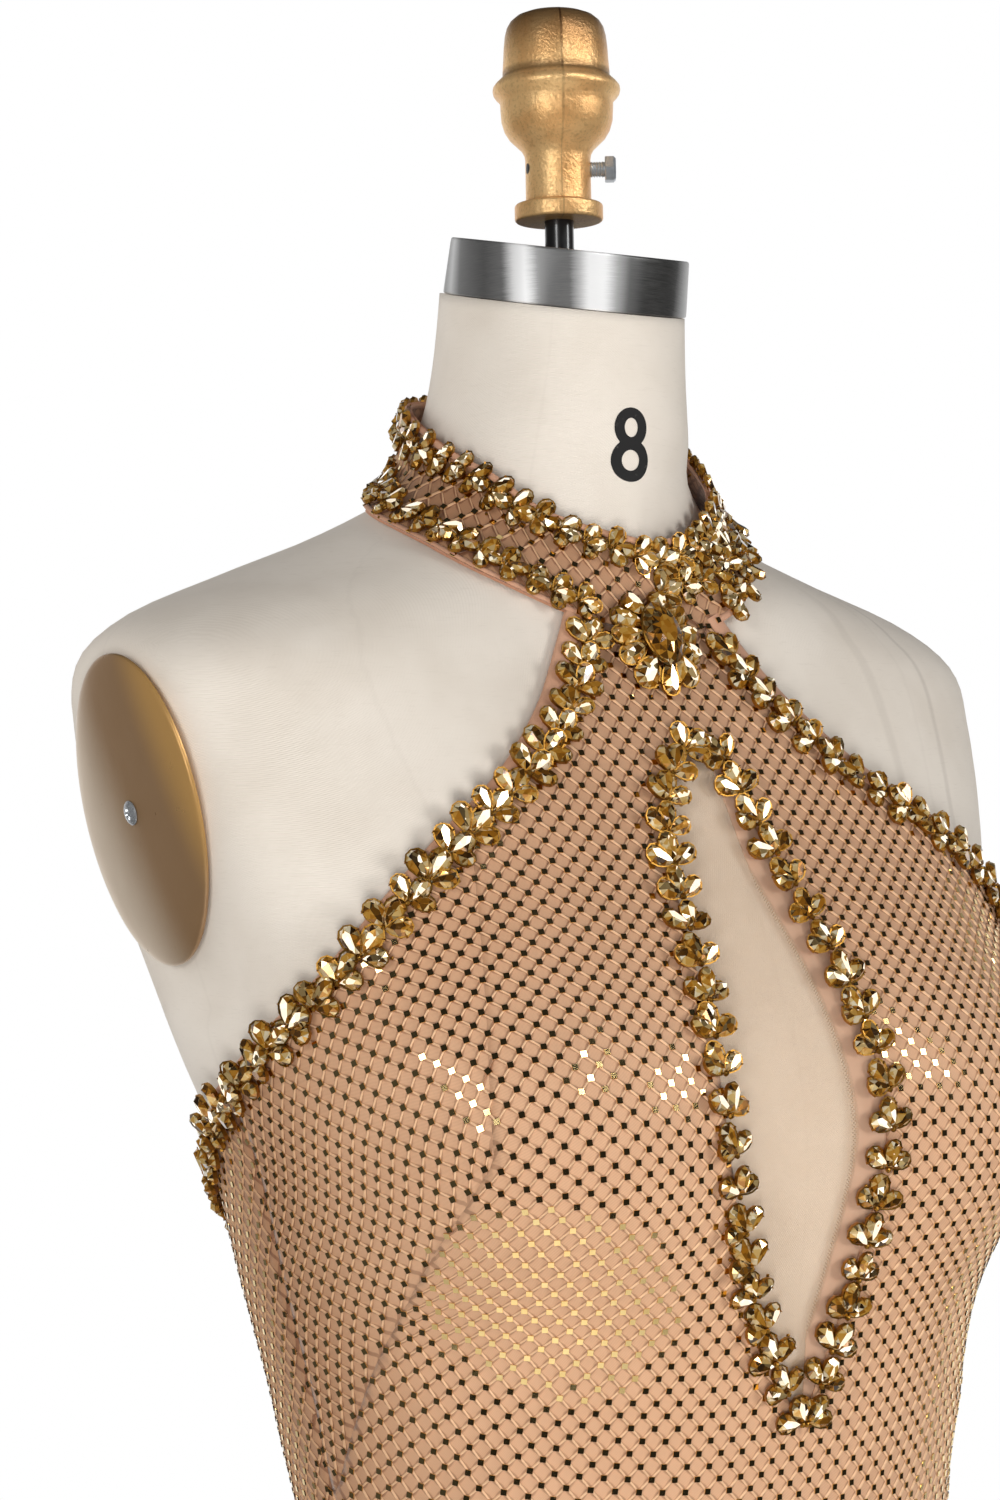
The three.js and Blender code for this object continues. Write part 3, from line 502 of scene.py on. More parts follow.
def build_neck_ring():
    # Its axis is square to the tilted plane that it stands on.
    seat = Vector((0, RING["centre_y"], NECK_TOP + RING["gap"] + NECK_TILT * RING["centre_y"]))
    lean = Matrix.Rotation(math.atan(NECK_TILT), 3, "X")
    lay = lambda x, y, z: tuple(lean @ Vector((x, y, z)) + seat)
    outer, taper, high = RING["outer"], RING["taper"], RING["height"]
    inner = outer - RING["wall"]
    mouth, rim = inner - taper, 0.9
    profile = [(inner, 0), (outer - 0.5, 0), (outer, 0.5), (outer, 2), (outer - taper * 0.9, high - 1.6)]
    profile += arc((outer - taper - rim, high - rim), rim, 0, 90, 5)
    profile += [(mouth + 0.3, high), (mouth, high - 0.4), (inner, 0)]
    ring = lathe("neck_ring_band", profile, 96, lay)
    finish_piece(sharpen(ring), brushed_steel(), "brushed_steel", "neck_ring")

    top, radius, hole = high - RING["plate_drop"], mouth - 0.5, 5.9
    foot = top - RING["plate_depth"]

    # The post passes through the plate a little behind its middle.
    def with_hole(x, y, z):
        share = max(0.0, 1 - (math.hypot(x, y) - hole) / (radius - hole))
        return lay(x, y + share * (-RING["centre_y"] + top * NECK_TILT), z)

    profile = [(hole, foot), (radius, foot), (radius, top - 0.4), (radius - 0.4, top), (hole, top),
               (hole, foot)]
    plate = lathe("neck_lid", profile, 64, with_hole)
    blackened = worn_finish("blackened_plate", rgb(34, 34, 36), rgb(66, 66, 68), (60, 5, 0.7), (0.35, 0.3),
                            (0.0001, 0.4), Metallic=0.9)
    finish_piece(sharpen(plate), blackened, "dark_steel", "neck_plate")


build_neck_ring()

# ---- Finial, post and set bolt --------------------------------------------------------------
# A hollow iron casting painted satin gold, clamped on a black post by one zinc hexagon bolt.
POST = dict(radius=5.5, foot=1490, foot_of_finial=1558.9, bore=34)
SET_BOLT = dict(angle=-35, height=1578.4, start=5.8, shank=3, end=17.8, head=4.2, across=5.2, pitch=1.0)
# Where the mould's halves part and where the second tapped hole is, in degrees, with its radius.
CASTING = dict(parting=-28.4, hole=-104, hole_radius=2, barrel=12.5)
FINIAL = [
    (5.8, 0), (15.4, 0), *arc((15.8, 1), 1, -90, 0, 4), (16.8, 4.6), *arc((15.8, 5.4), 1, 0, 60, 4),
    (13.9, 6.6), (12.6, 7.4), (12.4, 9), (12.4, 23.4), (12.7, 25.2), (13.8, 27.2), (15.9, 29.2), (18.3, 31.5),
    (20.1, 34.4), (21.2, 38), (21.5, 42), (21.6, 45), (22.2, 46.1), (23.3, 47.1), (24.1, 48.3),
    (24.4, 49.7), (24.2, 50.9), (23.2, 52.2), (21.9, 53.4), (20.9, 54.4), (20.4, 55.2), (20.5, 56),
    (20.4, 57.4), (20.1, 61), (19.8, 66), (19.3, 70.2), (18.5, 73.2), (17.2, 75.4), (15, 77.3), (12, 78.5),
    (8.4, 79.2), (4.2, 79.5), (0, 79.6),
]


def gold_paint(name="gold_paint", rough=0.28, grain=0.0005, cover_with_painted_reflections=False):
    """Satin gold paint with a fine orange peel and a little dirt. On the finial, painted shade darkens the
    crown, the hollow under it, a line along the parting and the tapped hole; on the covers, painted
    reflections run across it.
    """
    material, tree, shader, where = new_material(name, Metallic=0.42 if cover_with_painted_reflections else 0.54)
    peel, lumps = noise(tree, where, 820, 3, 0.6), noise(tree, where, 60, 3)
    dust = noise(tree, where, 210, 5, 0.7)
    x, y, z = tree.split(where)
    paint = tree.mix(lumps.step(0.3, 0.7), rgb(242, 184, 118), rgb(255, 210, 146))
    paint = tree.mix(peel.step(0.5, 0.64) * 0.3, paint, rgb(176, 130, 78))
    if not cover_with_painted_reflections:
        # The mould's halves leave a raised parting line, and a tapped hole shows on the far side. Both are
        # darkened with painted shade: a dark line along the parting line and a dark disc for the inside of
        # the hole.
        turned = x.math("ARCTAN2", y * -1) * (180 / math.pi)
        parting = 1 - (turned - CASTING["parting"]).math("ABSOLUTE").step(0.4, 2.0)
        up = z * 1000 - POST["foot_of_finial"]
        # Painted shade: darker towards the crown, and a dark band at the hollow under it.
        crown = up.step(56, 77) * 0.75 + (1 - (up - 55.2).math("ABSOLUTE").step(0.6, 2.6)) * 0.55
        paint = tree.mix(crown + parting * 0.28, paint, rgb(88, 58, 30))
        # Painted shade: the tapped hole's inside as a dark disc.
        around = (turned - CASTING["hole"]) * math.radians(CASTING["barrel"])
        above = z * 1000 - SET_BOLT["height"]
        size = CASTING["hole_radius"]
        hole = 1 - (around * around + above * above).math("SQRT").step(size - 0.3, size + 0.3)
        paint = tree.mix(hole, paint, rgb(30, 20, 12))
    else:
        # Painted reflections: the covers are painted pale towards the back, browner over the middle and gold
        # towards the front.
        forward = y * -1000 + (z * 1000 - ARM_PLANE["z"]) * 0.4
        paint = tree.mix(forward.step(12, 34), rgb(164, 130, 94), rgb(208, 162, 98))
        paint = tree.mix(forward.step(-44, -4), rgb(222, 202, 178), paint)
    connect(shader, Base_Color=tree.mix(dust.step(0.62, 0.74) * 0.14, paint, rgb(120, 84, 48)))
    connect(shader, Roughness=rough + lumps * 0.12)
    connect(shader, Normal=bump(tree, lumps, 0.0007, 0.28, bump(tree, peel, grain, 0.6)))
    return material


def build_finial():
    seat, bore = POST["foot_of_finial"], POST["bore"]

    def cast(x, y, z):
        # The two halves of the mould meet in a thin raised line, and the cast is a little out of round.
        radius, turn = math.hypot(x, y), math.degrees(math.atan2(x, -y))
        line = sum(math.exp(-(turn_between(turn, at) / 2.2) ** 2) for at in (-28, 152))
        uneven = 0.02 * line + 0.006 * math.sin(math.radians(2 * turn + 3 * z))
        scale = 1 + uneven * soft_step(6, 12, z) * (radius > 6)
        return x * scale, y * scale, seat + z

    finial = lathe("finial_cast", [(0, bore), (FINIAL[0][0], bore), *FINIAL], 96, cast)
    finish_piece(sharpen(finial, 50), gold_paint(), "gold_paint", "finial")

    top = seat + bore - 1
    profile = [(0, POST["foot"]), (POST["radius"], POST["foot"]), (POST["radius"], top), (0, top)]
    post = lathe("neck_rod", profile, 48)
    enamel = worn_finish("black_enamel", rgb(16, 15, 16), rgb(34, 32, 33), (300, 4), (0.2, 0.25),
                         Coat_Weight=0.6, Coat_Roughness=0.08)
    finish_piece(sharpen(post), enamel, "dark_steel", "neck_post")


def build_set_bolt():
    turn = Matrix.Rotation(math.radians(SET_BOLT["angle"]), 4, "Z") @ Matrix.Rotation(math.pi / 2, 4, "Y")
    lay = lambda x, y, z: tuple(turn @ Vector((x, y, z)) + Vector((0, 0, SET_BOLT["height"])))
    start, end, shank, head, across, pitch = (
        SET_BOLT[key] for key in ("start", "end", "shank", "head", "across", "pitch"))
    profile = [(0, start), (shank - 0.6, start)]
    for i in range(int((end - start - 1) / pitch)):
        profile += [(shank - 0.42, start + 0.5 + i * pitch), (shank, start + 1.0 + i * pitch)]
    bolt = lathe("set_bolt_shank", [*profile, (shank - 0.3, end), (0, end)], 20, lay)
    profile = [(0, end), (across - 0.2, end), (across, end + 0.4), (across, end + head - 0.9)]
    profile += [(across - 0.8, end + head - 0.1), (3.2, end + head), (0, end + head - 0.3)]
    cap = lathe("set_bolt_head", profile, 6, lay)
    cap.data.polygons.foreach_set("use_smooth", [False] * len(cap.data.polygons))
    zinc = worn_finish("zinc", rgb(168, 175, 182), rgb(216, 222, 226), (420, 4, 0.7), (0.26, 0.22),
                       (0.00006, 0.4), Metallic=0.7)
    finish_piece(sharpen(bolt), zinc, "bright_steel", "finial_set_bolt")
    finish_piece(cap, zinc, "bright_steel")


build_finial()
build_set_bolt()

# ---- Arm plates -----------------------------------------------------------------------------
# A domed oval cover, gold painted, closes each armhole. One cross-head screw holds it. The left
# one sits a little further back.
ARM_PLATE = dict(right=10, left=18, half_width=43, half_height=56, dome=4.5, rim=1, stand_off=0.5)
SCREW = dict(head=4.4, rise=1.3, gap=0.3, slot=0.45, depth=0.8, reach=2.3, turn=0.3)


def arm_seat(side, sign):
    place = Matrix.Translation((sign * ARM_PLANE["x"], ARM_PLATE[side], ARM_PLANE["z"]))
    return place @ Matrix.Rotation(sign * math.radians(90 + ARM_PLANE["tilt"]), 4, "Y")


def build_arm_plate(side, sign, material, steel):
    seat, high, rim = arm_seat(side, sign), ARM_PLATE["dome"], ARM_PLATE["rim"]
    lay = lambda x, y, z: tuple(seat @ Vector((x, y, z + ARM_PLATE["stand_off"])))
    profile = [(0, 0), (0.99, 0), (1, 0.3), (1, rim)]
    for turn in np.linspace(0, math.pi / 2, 14)[1:-1]:
        profile.append((math.cos(turn) ** 0.8, rim + (high - rim) * math.sin(turn)))
    profile.append((0, high))
    plate = lathe(f"arm_cover_{side}", profile, 96, lambda x, y, z: lay(
        x * ARM_PLATE["half_height"], y * ARM_PLATE["half_width"], z))
    finish_piece(sharpen(plate, 50), material, "gold_paint", f"arm_plate_{side}")

    # The head is a shallow dome on a polar grid, pressed in along a cross.
    rings, sides, head, slot = 9, 48, SCREW["head"], SCREW["slot"]
    radius = np.linspace(head, 0.25, rings)[:, None] * np.ones(sides)
    turn = np.linspace(0, 2 * math.pi, sides, endpoint=False) * np.ones((rings, 1))
    cross_turn = (turn - SCREW["turn"] + math.pi / 4) % (math.pi / 2) - math.pi / 4
    aside = np.abs(radius * np.sin(cross_turn))
    pressed = (1 - soft_step(slot, slot + 0.35, aside)) * (radius < SCREW["reach"])
    height = SCREW["rise"] * np.sqrt(np.clip(1.02 - (radius / head) ** 2, 0, 1)) - SCREW["depth"] * pressed
    radius, turn = np.concatenate([radius[:1], radius]), np.concatenate([turn[:1], turn])
    height = high + SCREW["gap"] + np.concatenate([0 * height[:1], height])
    points = np.stack([radius * np.cos(turn), radius * np.sin(turn), height], -1).reshape(-1, 3)
    screw = add_mesh(f"cover_screw_{side}", [lay(*p) for p in points], capped_faces(rings + 1, sides))
    finish_piece(sharpen(screw, 40), steel, "bright_steel", f"arm_plate_screw_{side}")


cover_paint = gold_paint("gold_cover", 0.24, 0.00004, True)
screw_steel = worn_finish("screw_steel", rgb(176, 180, 184), rgb(214, 216, 218), (500, 4), (0.18, 0.2),
                          Metallic=0.7)
for side, sign in (("right", -1), ("left", 1)):
    build_arm_plate(side, sign, cover_paint, screw_steel)

# ---- Stand ----------------------------------------------------------------------------------
# A plain pole rises from a round weighted foot to the flange screwed under the form.
STAND = dict(radius=190, hub=40, top=18, pole=16, flange=60, flange_depth=8, gap=0.3)


def build_stand():
    top, gap, edge, hub = STAND["top"], STAND["gap"], STAND["radius"], STAND["hub"]
    foot = [(0, 0), (edge - 1.4, 0), *arc((edge - 1.4, 1.4), 1.4, -90, 0, 4),
            *arc((edge - 4, 6), 4, 0, 80, 5), (150, 10.5), (80, 15.4), (hub, top - 0.4), (hub - 3, top),
            (0, top)]
    pole_top = FORM_BOTTOM - 2 * gap - STAND["flange_depth"]
    pole = [(0, top + gap), (STAND["pole"], top + gap), (STAND["pole"], pole_top), (0, pole_top)]
    low, high, wide = pole_top + gap, FORM_BOTTOM - gap, STAND["flange"]
    flange = [(0, low), (wide - 0.6, low), (wide, low + 0.6), (wide, high - 0.6), (wide - 0.6, high),
              (0, high)]
    material, tree, shader, where = new_material("powder_coat", Metallic=0.2)
    pits, dust = noise(tree, where, 900, 3, 0.6), noise(tree, where, 30, 4)
    connect(shader, Base_Color=tree.mix(dust, rgb(30, 30, 32), rgb(52, 51, 52)), Roughness=0.42 + dust * 0.2)
    connect(shader, Normal=bump(tree, pits, 0.00012, 0.6))
    for name, profile, sides, node in (
        ("foot_disc", foot, 128, "stand_base"), ("pole_tube", pole, 48, "stand_pole"),
        ("flange_disc", flange, 64, "stand_flange"),
    ):
        finish_piece(sharpen(lathe(name, profile, sides)), material, "dark_steel", node)


build_stand()

# ---- Gown cloth -----------------------------------------------------------------------------
# The body is nude stretch net over a finer nude mesh: one front with two French darts and two
# backs. It fits to the hip, then falls to the floor in soft flutes. Hairline seams join it.
CLOTH = dict(back=2.7, face=3.6, hem=15, hip=860, fine_from=1050, side_seam=88, seam_gap=0.06)
DEGREE = 2.6  # about how far one degree reaches round the cloth
SKIRT = Table("z half front back square_front square_back", [
    (15, 262, 226, 274, 2, 2),
    (200, 214, 180, 208, 2.05, 2.05),
    (350, 180, 148, 164, 2.1, 2.1),
    (480, 166, 133, 143, 2.15, 2.15),
    (600, 169, 130, 136, 2.2, 2.2),
    (700, 176, 132, 133, 2.2, 2.2),
    (800, 177, 131, 127, 2.2, 2.2),
])
WORN = Table("z half front back square_front square_back",
             [*SKIRT.rows, *[row for row in FIGURE.rows if row[0] > CLOTH["hip"]]])
# Flutes of the skirt: angle, half spread in degrees, depth at the hem, and top.
FLUTES = [
    (-155, 13, 26, 640), (-116, 12, 20, 560), (-80, 11, 24, 650), (-47, 10, 16, 500), (-18, 10, 20, 600),
    (12, 9, 14, 480), (38, 10, 19, 590), (69, 11, 16, 530), (101, 12, 24, 640), (134, 13, 19, 550),
    (168, 12, 22, 660),
]
# Creases: angle, height, slope, half length, half width and depth. Most pull from waist, dart and hip.
CREASES = [
    (-64, 1088, 24, 42, 7, 0.9), (-70, 1062, 16, 38, 6, 0.8), (-58, 1112, 34, 36, 6, 0.6),
    (66, 1080, 20, 40, 7, 0.9), (74, 1052, 12, 34, 6, 0.7), (58, 1108, 38, 34, 6, 0.6),
    (-30, 1030, 8, 52, 8, 0.7), (26, 1040, -6, 46, 8, 0.8), (-6, 1012, 4, 40, 7, 0.6),
    (-120, 1066, -14, 44, 7, 1.1), (124, 1058, -18, 46, 7, 1.0), (-140, 1034, -8, 40, 7, 0.9),
    (146, 1028, -10, 42, 7, 1.0), (-165, 1062, -5, 30, 6, 0.8), (168, 1050, -4, 32, 6, 0.9),
    (-100, 962, 22, 60, 10, 0.8), (98, 948, 26, 62, 10, 0.9), (-40, 900, 18, 70, 12, 0.9),
    (44, 886, 16, 66, 12, 0.8), (-150, 884, 30, 64, 12, 1.2), (154, 896, 26, 60, 11, 1.0),
    (-34, 700, 62, 120, 13, 1.6), (22, 690, 70, 130, 14, 1.8), (82, 660, 72, 130, 14, 1.6),
    (-90, 680, 66, 120, 14, 1.8), (-138, 640, 74, 140, 15, 2.2), (150, 660, 74, 140, 15, 2.0),
    (-2, 420, 80, 150, 14, 3.0), (52, 380, 82, 150, 14, 3.4), (-64, 400, 82, 150, 14, 3.2),
    (118, 390, 82, 160, 15, 3.6), (-132, 410, 82, 160, 15, 3.4), (-176, 360, 84, 160, 15, 3.0),
    (24, 180, 84, 130, 11, 4.0), (-32, 170, 84, 130, 11, 4.0), (86, 190, 84, 130, 12, 4.5),
    (-98, 180, 84, 130, 12, 4.5), (148, 170, 84, 130, 12, 4.0), (-144, 150, 84, 120, 11, 3.5),
]
# The collar's edges, from the centre front to the nape. Its lower edge differs by side.
COLLAR = Table("angle right left upper", [
    (0, 1396, 1396, 1430), (25, 1404, 1406, 1437), (45, 1417, 1427, 1451), (65, 1432, 1440, 1464),
    (90, 1446, 1450, 1476), (120, 1456, 1457, 1487), (150, 1462, 1462, 1492), (180, 1464, 1464, 1494),
])
# The free edge, from the collar along the armhole, under the arm and down the open back.
FREE_EDGE = Table("z right left", [
    (1404, 25, 17), (1386, 29.5, 22), (1370, 33.5, 26.5), (1345, 41.5, 36.5), (1325, 49.5, 48),
    (1305, 56.5, 57), (1279, 65.5, 66), (1262, 73.5, 74), (1244, 84.5, 84.5), (1231, 95, 95),
    (1214, 104.5, 104.5), (1201, 116, 116), (1183, 128, 128), (1156, 142, 142), (1124, 159, 159),
    (1103, 180, 180),
])
# The keyhole's reach to either side of the centre, from its round top to its pointed foot.
KEYHOLE_TOP, KEYHOLE_FOOT = 1358, 1119
KEYHOLE = Table("z right left", [
    (1358, 0, 0), (1351, 13, 4.5), (1340, 23, 7.5), (1322, 31, 11), (1300, 35, 17), (1275, 37.5, 24.5),
    (1245, 40, 30), (1222, 40, 31), (1200, 36, 27), (1180, 29.5, 22.5), (1160, 21, 17), (1140, 11.5, 9),
    (1119, 0, 0),
])
DART_TIP = 48
DART = Table("angle z", [(86, 1101), (74, 1144), (67, 1164), (58.5, 1188), (52, 1206), (DART_TIP, 1220)])


def ridge(distance, high, wide):
    """The height of a rounded ridge, at a distance from its line."""
    return high * np.exp(-(distance / wide) ** 2)


def flute_depth(z, angle):
    depth = 0.0
    for at, spread, deep, top in FLUTES:
        growth = np.clip((top - z) / (top - CLOTH["hem"]), 0, 1) ** 1.4
        depth = depth + growth * ridge(turn_between(angle, at), deep, spread)
    return depth


def crease_height(z, angle):
    height = 0.0
    for at, level, slope, length, width, deep in CREASES:
        turn = math.radians(slope)
        side, up = turn_between(angle, at) * DEGREE, z - level
        along = (side * math.cos(turn) + up * math.sin(turn)) / length
        across = (up * math.cos(turn) - side * math.sin(turn)) / width
        height = height + deep * np.exp(-along**2 - across**2) * np.cos(across * 1.3)
    return height


def drape(z, angle, lift=0.0):
    """Points above what the cloth lies on, and the directions straight out of it."""
    z, angle = np.broadcast_arrays(np.asarray(z, float), np.asarray(angle, float))
    on = lambda z, angle: section_points(WORN, z, angle, flute_depth(z, angle))
    up, around = on(z + 1, angle) - on(z - 1, angle), on(z, angle + 0.4) - on(z, angle - 0.4)
    out = np.cross(around, up)
    out /= np.linalg.norm(out, axis=-1, keepdims=True)
    return on(z, angle) + out * np.asarray(lift, float)[..., None], out


def cloth_points(z, angle, lift):
    return drape(z, angle, lift + crease_height(z, angle))


def side_read(table, key, at, angle):
    """Reads a table that has a column for each side of the wearer."""
    return np.where(np.asarray(angle) < 0, table.read(key, at, "right"), table.read(key, at, "left"))


def panel_top(angle):
    """The height of the panels' upper edge: under the collar in front, the free edge elsewhere."""
    turn, under_collar = np.abs(angle), 0.6
    tops = [np.where(turn <= FREE_EDGE.column(side)[0], COLLAR.read("angle", turn, side) - under_collar,
                     FREE_EDGE.read(side, turn, "z")) for side in ("right", "left")]
    return np.where(np.asarray(angle) < 0, *tops)


# How far it is round the cloth from the centre front, at each height and angle.
ROUND_STEP = 5
ROUND_Z, ROUND_ANGLE = np.arange(10, 1500.1, ROUND_STEP), np.arange(0, 180.1, 1)


def measure_round(side):
    z, angle = np.meshgrid(ROUND_Z, ROUND_ANGLE, indexing="ij")
    points, _ = drape(z, side * angle, CLOTH["face"])
    steps = np.linalg.norm(np.diff(points, axis=1), axis=-1)
    return np.concatenate([np.zeros((len(ROUND_Z), 1)), np.cumsum(steps, axis=1)], axis=1)


ROUND = {side: measure_round(side) for side in (-1, 1)}


def distance_round(z, angle):
    row = np.clip((z - ROUND_Z[0]) / ROUND_STEP, 0, len(ROUND_Z) - 1.001)
    column = np.clip(np.abs(angle), 0, ROUND_ANGLE[-1] - 0.001)
    i, j = row.astype(int), column.astype(int)
    u, v = row - i, column - j
    across = lambda table, i: table[i, j] * (1 - v) + table[i, j + 1] * v
    both = [across(table, i) * (1 - u) + across(table, i + 1) * u for table in (ROUND[-1], ROUND[1])]
    return np.where(angle < 0, *both)


CENTRE_BACK = 179.9  # a hairline short of the centre back seam
# The net's own grid. U counts half cells round the body and V counts them up it. The net is
# stretched over the bust, and above the dart it is turned by the wedge that the dart takes out.
CELLS_ROUND, CELLS_UP = 0.24, 0.228
MAP = 512  # cells across the whole map, whose middle is the centre front
NET_RISE = Table("z v", [
    (10, 10 * CELLS_UP), (600, 600 * CELLS_UP), (1100, 1100 * CELLS_UP), (1160, 264.5), (1200, 274.2),
    (1240, 284.3), (1260, 289.8), (1280, 295.9), (1300, 302.1), (1320, 308.0), (1345, 314.8), (1375, 322.5),
    (1420, 333.8), (1440, 338.6),
])


# The dart's wedge: the height it starts at, how far round it sets in, and its pull on the grid.
WEDGE = dict(top=1225, soften=12, start=112, full=140, across=0.22, up=0.045)
# Under the arm the net climbs from a distance round, and below the dart it sags to the sides.
CLIMB = dict(low=1185, high=1222, start=120, soften=25, slope=0.105)
SAG = dict(full=1150, end=1190, curve=0.00018)


def soft_ramp(value, softness):
    return (value + np.sqrt(value**2 + softness**2)) / 2


def front_net(z, angle, above_dart):
    """The grid on the front: turned by the dart above it, and sagging a little to the sides below it."""
    far = distance_round(z, angle)
    wedge = soft_ramp(WEDGE["top"] - z, WEDGE["soften"]) * soft_step(WEDGE["start"], WEDGE["full"], far)
    wedge = wedge * above_dart
    upper = np.where(above_dart, 1.0, soft_step(CLIMB["low"], CLIMB["high"], z))
    sag = SAG["curve"] * far**2 * (1 - soft_step(SAG["full"], SAG["end"], z))
    climb = CLIMB["slope"] * soft_ramp(far - CLIMB["start"], CLIMB["soften"])
    u = CELLS_ROUND * far + WEDGE["across"] * wedge
    v = NET_RISE.read("z", z, "v") + upper * climb - (1 - upper) * sag + WEDGE["up"] * wedge
    return np.stack([np.where(angle < 0, -u, u), v], -1)


def back_net(z, angle):
    far = distance_round(z, np.where(angle < 0, -CENTRE_BACK, CENTRE_BACK)) - distance_round(z, angle)
    return np.stack([np.where(angle < 0, far, -far) * CELLS_ROUND, z * CELLS_UP], -1)


def panel_grid(angles, heights):
    """A flat grid over angle and height, to be cut to a panel's outline."""
    z, angle = np.meshgrid(heights, angles, indexing="ij")
    return np.stack([angle, z], -1).reshape(-1, 2), grid_faces(*z.shape)


def panel_heights(top, rows):
    """Heights from the hem to a panel's top, closer together above the skirt."""
    skirt = np.linspace(CLOTH["hem"], CLOTH["fine_from"], 60, endpoint=False)
    return np.concatenate([skirt, np.linspace(CLOTH["fine_from"], top, rows)])


def edges_of(faces):
    """The open edges of a sheet, in the order in which its faces run."""
    seen = {(a, b): True for face in faces for a, b in zip(face, [*face[1:], face[0]])}
    return [(a, b) for a, b in seen if (b, a) not in seen]


def shell(name, outer, inner, faces, net=None):
    """A thin closed shell between an outer and an inner sheet that share their faces."""
    count = len(outer)
    walls = [(b, a, a + count, b + count) for a, b in edges_of(faces)]
    back = [[v + count for v in face[::-1]] for face in faces]
    piece = add_mesh(name, np.concatenate([outer, inner]), [*faces, *back, *walls])
    if net is not None:
        set_net(piece, np.concatenate([net, net]))
    return piece


def set_net(piece, net):
    layer = piece.data.uv_layers.new(name="Net")
    corners = np.empty(len(piece.data.loops), np.int32)
    piece.data.loops.foreach_get("vertex_index", corners)
    on_map = net[corners] / MAP + np.array([0.5, 0])
    layer.data.foreach_set("uv", on_map.astype(np.float32).ravel())


def bare_sheet(name, points, out, faces, net):
    """The cloth's face alone, with the net's grid and the way out, for what is set on it."""
    piece = add_mesh(name, points, faces)
    set_net(piece, net)
    set_attribute(piece, "out", out, "FLOAT_VECTOR")
    return piece


def stretch_and_painted_shade(tree, where):
    """One over the bust and waist, where the cloth pulls pale; nought down the sides and less over the upper
    chest, where the darker colour is painted shade.
    """
    _, y, z = tree.split(where)
    return y.math("ABSOLUTE").step(0.0, 0.1) * (1 - z.step(1.235, 1.32) * 0.42)


def net_cloth(name, colour, shade, windows):
    """Fine nude mesh: a small hatched weave on the net's grid, with painted shade along the ribs' feet, down
    the sides and over the upper chest.
    """
    material, tree, shader, where = new_material(name, Roughness=0.72, Sheen_Weight=0.25, Sheen_Roughness=0.4)
    u, v, _ = tree.split(tree.add("ShaderNodeUVMap", dict(uv_map="Net")))
    u, v = (u - 0.5) * MAP, v * MAP
    p, q = (u + v) * 0.5, (u - v) * 0.5
    to_rib = lambda w: (w - w.math("ROUND")).math("ABSOLUTE")
    sway = lambda w: (w * (2 * math.pi)).math("SINE") * 0.045
    near = to_rib(p + sway(q)).math("MINIMUM", to_rib(q - sway(p)))
    weave = ((u * 26 + v * 52).math("SINE") * 0.5 + 0.5) * ((u * 52 - v * 30).math("SINE") * 0.25 + 0.75)
    cloud, pull = noise(tree, where, 30, 4), stretch_and_painted_shade(tree, where)
    # The shade colour is painted shade down the sides and over the upper chest; the paler colour is the
    # stretched cloth.
    ground = tree.mix(pull - cloud.step(0.3, 0.7) * 0.12, shade, colour)
    ground = tree.mix(weave * 0.46, ground, windows)
    # Painted shade: the cloth darkens at the feet of the ribs, more where it is not stretched.
    painted_rib_shade = (1 - near.step(0.1, 0.18)) * (0.82 - pull * 0.38)
    connect(shader, Base_Color=tree.mix(painted_rib_shade, ground, windows))
    connect(shader, Normal=bump(tree, weave, 0.00012, 0.5))
    return material


def over_dart(z, angle):
    """How far a place is above the dart's line."""
    return z - DART.read("angle", np.abs(angle), "z")


def build_panel(name, flat, faces, net, dip):
    """A panel's shell, whose face dips where it is sewn, and the bare face that its net is set on."""
    angle, z = flat.T
    dip = dip + ridge((np.abs(angle) - CLOTH["side_seam"]) * DEGREE, 0.6, 1.6)
    outer, out = cloth_points(z, angle, CLOTH["face"] - dip)
    inner, _ = cloth_points(z, angle, CLOTH["back"] - dip * 0.5)
    cloth = shell(name.format("cloth"), outer, inner, faces, net)
    return cloth, bare_sheet(name.format("face"), outer, out, faces, net)


def build_front():
    seam = CLOTH["side_seam"] - CLOTH["seam_gap"]
    flat, faces = panel_grid(np.linspace(-seam, seam, 129), panel_heights(1406, 88))
    angle, z = flat.T
    x = drape(z, angle, CLOTH["face"])[0][:, 0]
    reach = side_read(KEYHOLE, "z", z, x)
    beside = np.maximum(np.abs(x) - np.maximum(reach, 0), np.maximum(z - KEYHOLE_TOP, KEYHOLE_FOOT - z))
    flat, faces = trim_sheet(flat, faces, np.minimum(panel_top(angle) - z, beside))
    # The front is parted along its darts, so that the net can turn there.
    angle, z = flat.T
    above = np.minimum((np.abs(angle) - DART_TIP) * DEGREE, over_dart(z, angle))
    (flat, faces), (high, high_faces) = (trim_sheet(flat, faces, keep) for keep in (-above, above))
    shift = len(flat)
    flat = np.concatenate([flat, high])
    faces = [*faces, *([v + shift for v in face] for face in high_faces)]
    angle, z = flat.T
    net = front_net(z, angle, np.arange(len(flat)) >= shift)
    # The cloth turns in a little along the dart, and pulls up beside it.
    to_dart = np.where(np.abs(angle) > DART_TIP, over_dart(z, angle), 9.0)
    dip = ridge(to_dart, 0.16, 1.8) - ridge(to_dart + 3.4, 0.12, 2.4)
    return build_panel("front_{}", flat, faces, net, dip)


def build_back(side, sign):
    angles = sign * np.linspace(CLOTH["side_seam"] + CLOTH["seam_gap"], CENTRE_BACK, 62)
    flat, faces = panel_grid(np.sort(angles), panel_heights(1250, 48))
    angle, z = flat.T
    flat, faces = trim_sheet(flat, faces, panel_top(angle) - z)
    angle, z = flat.T
    dip = ridge((180 - np.abs(angle)) * 2.2, 0.5, 1.6)
    return build_panel(f"back_{{}}_{side}", flat, faces, back_net(z, angle), dip)


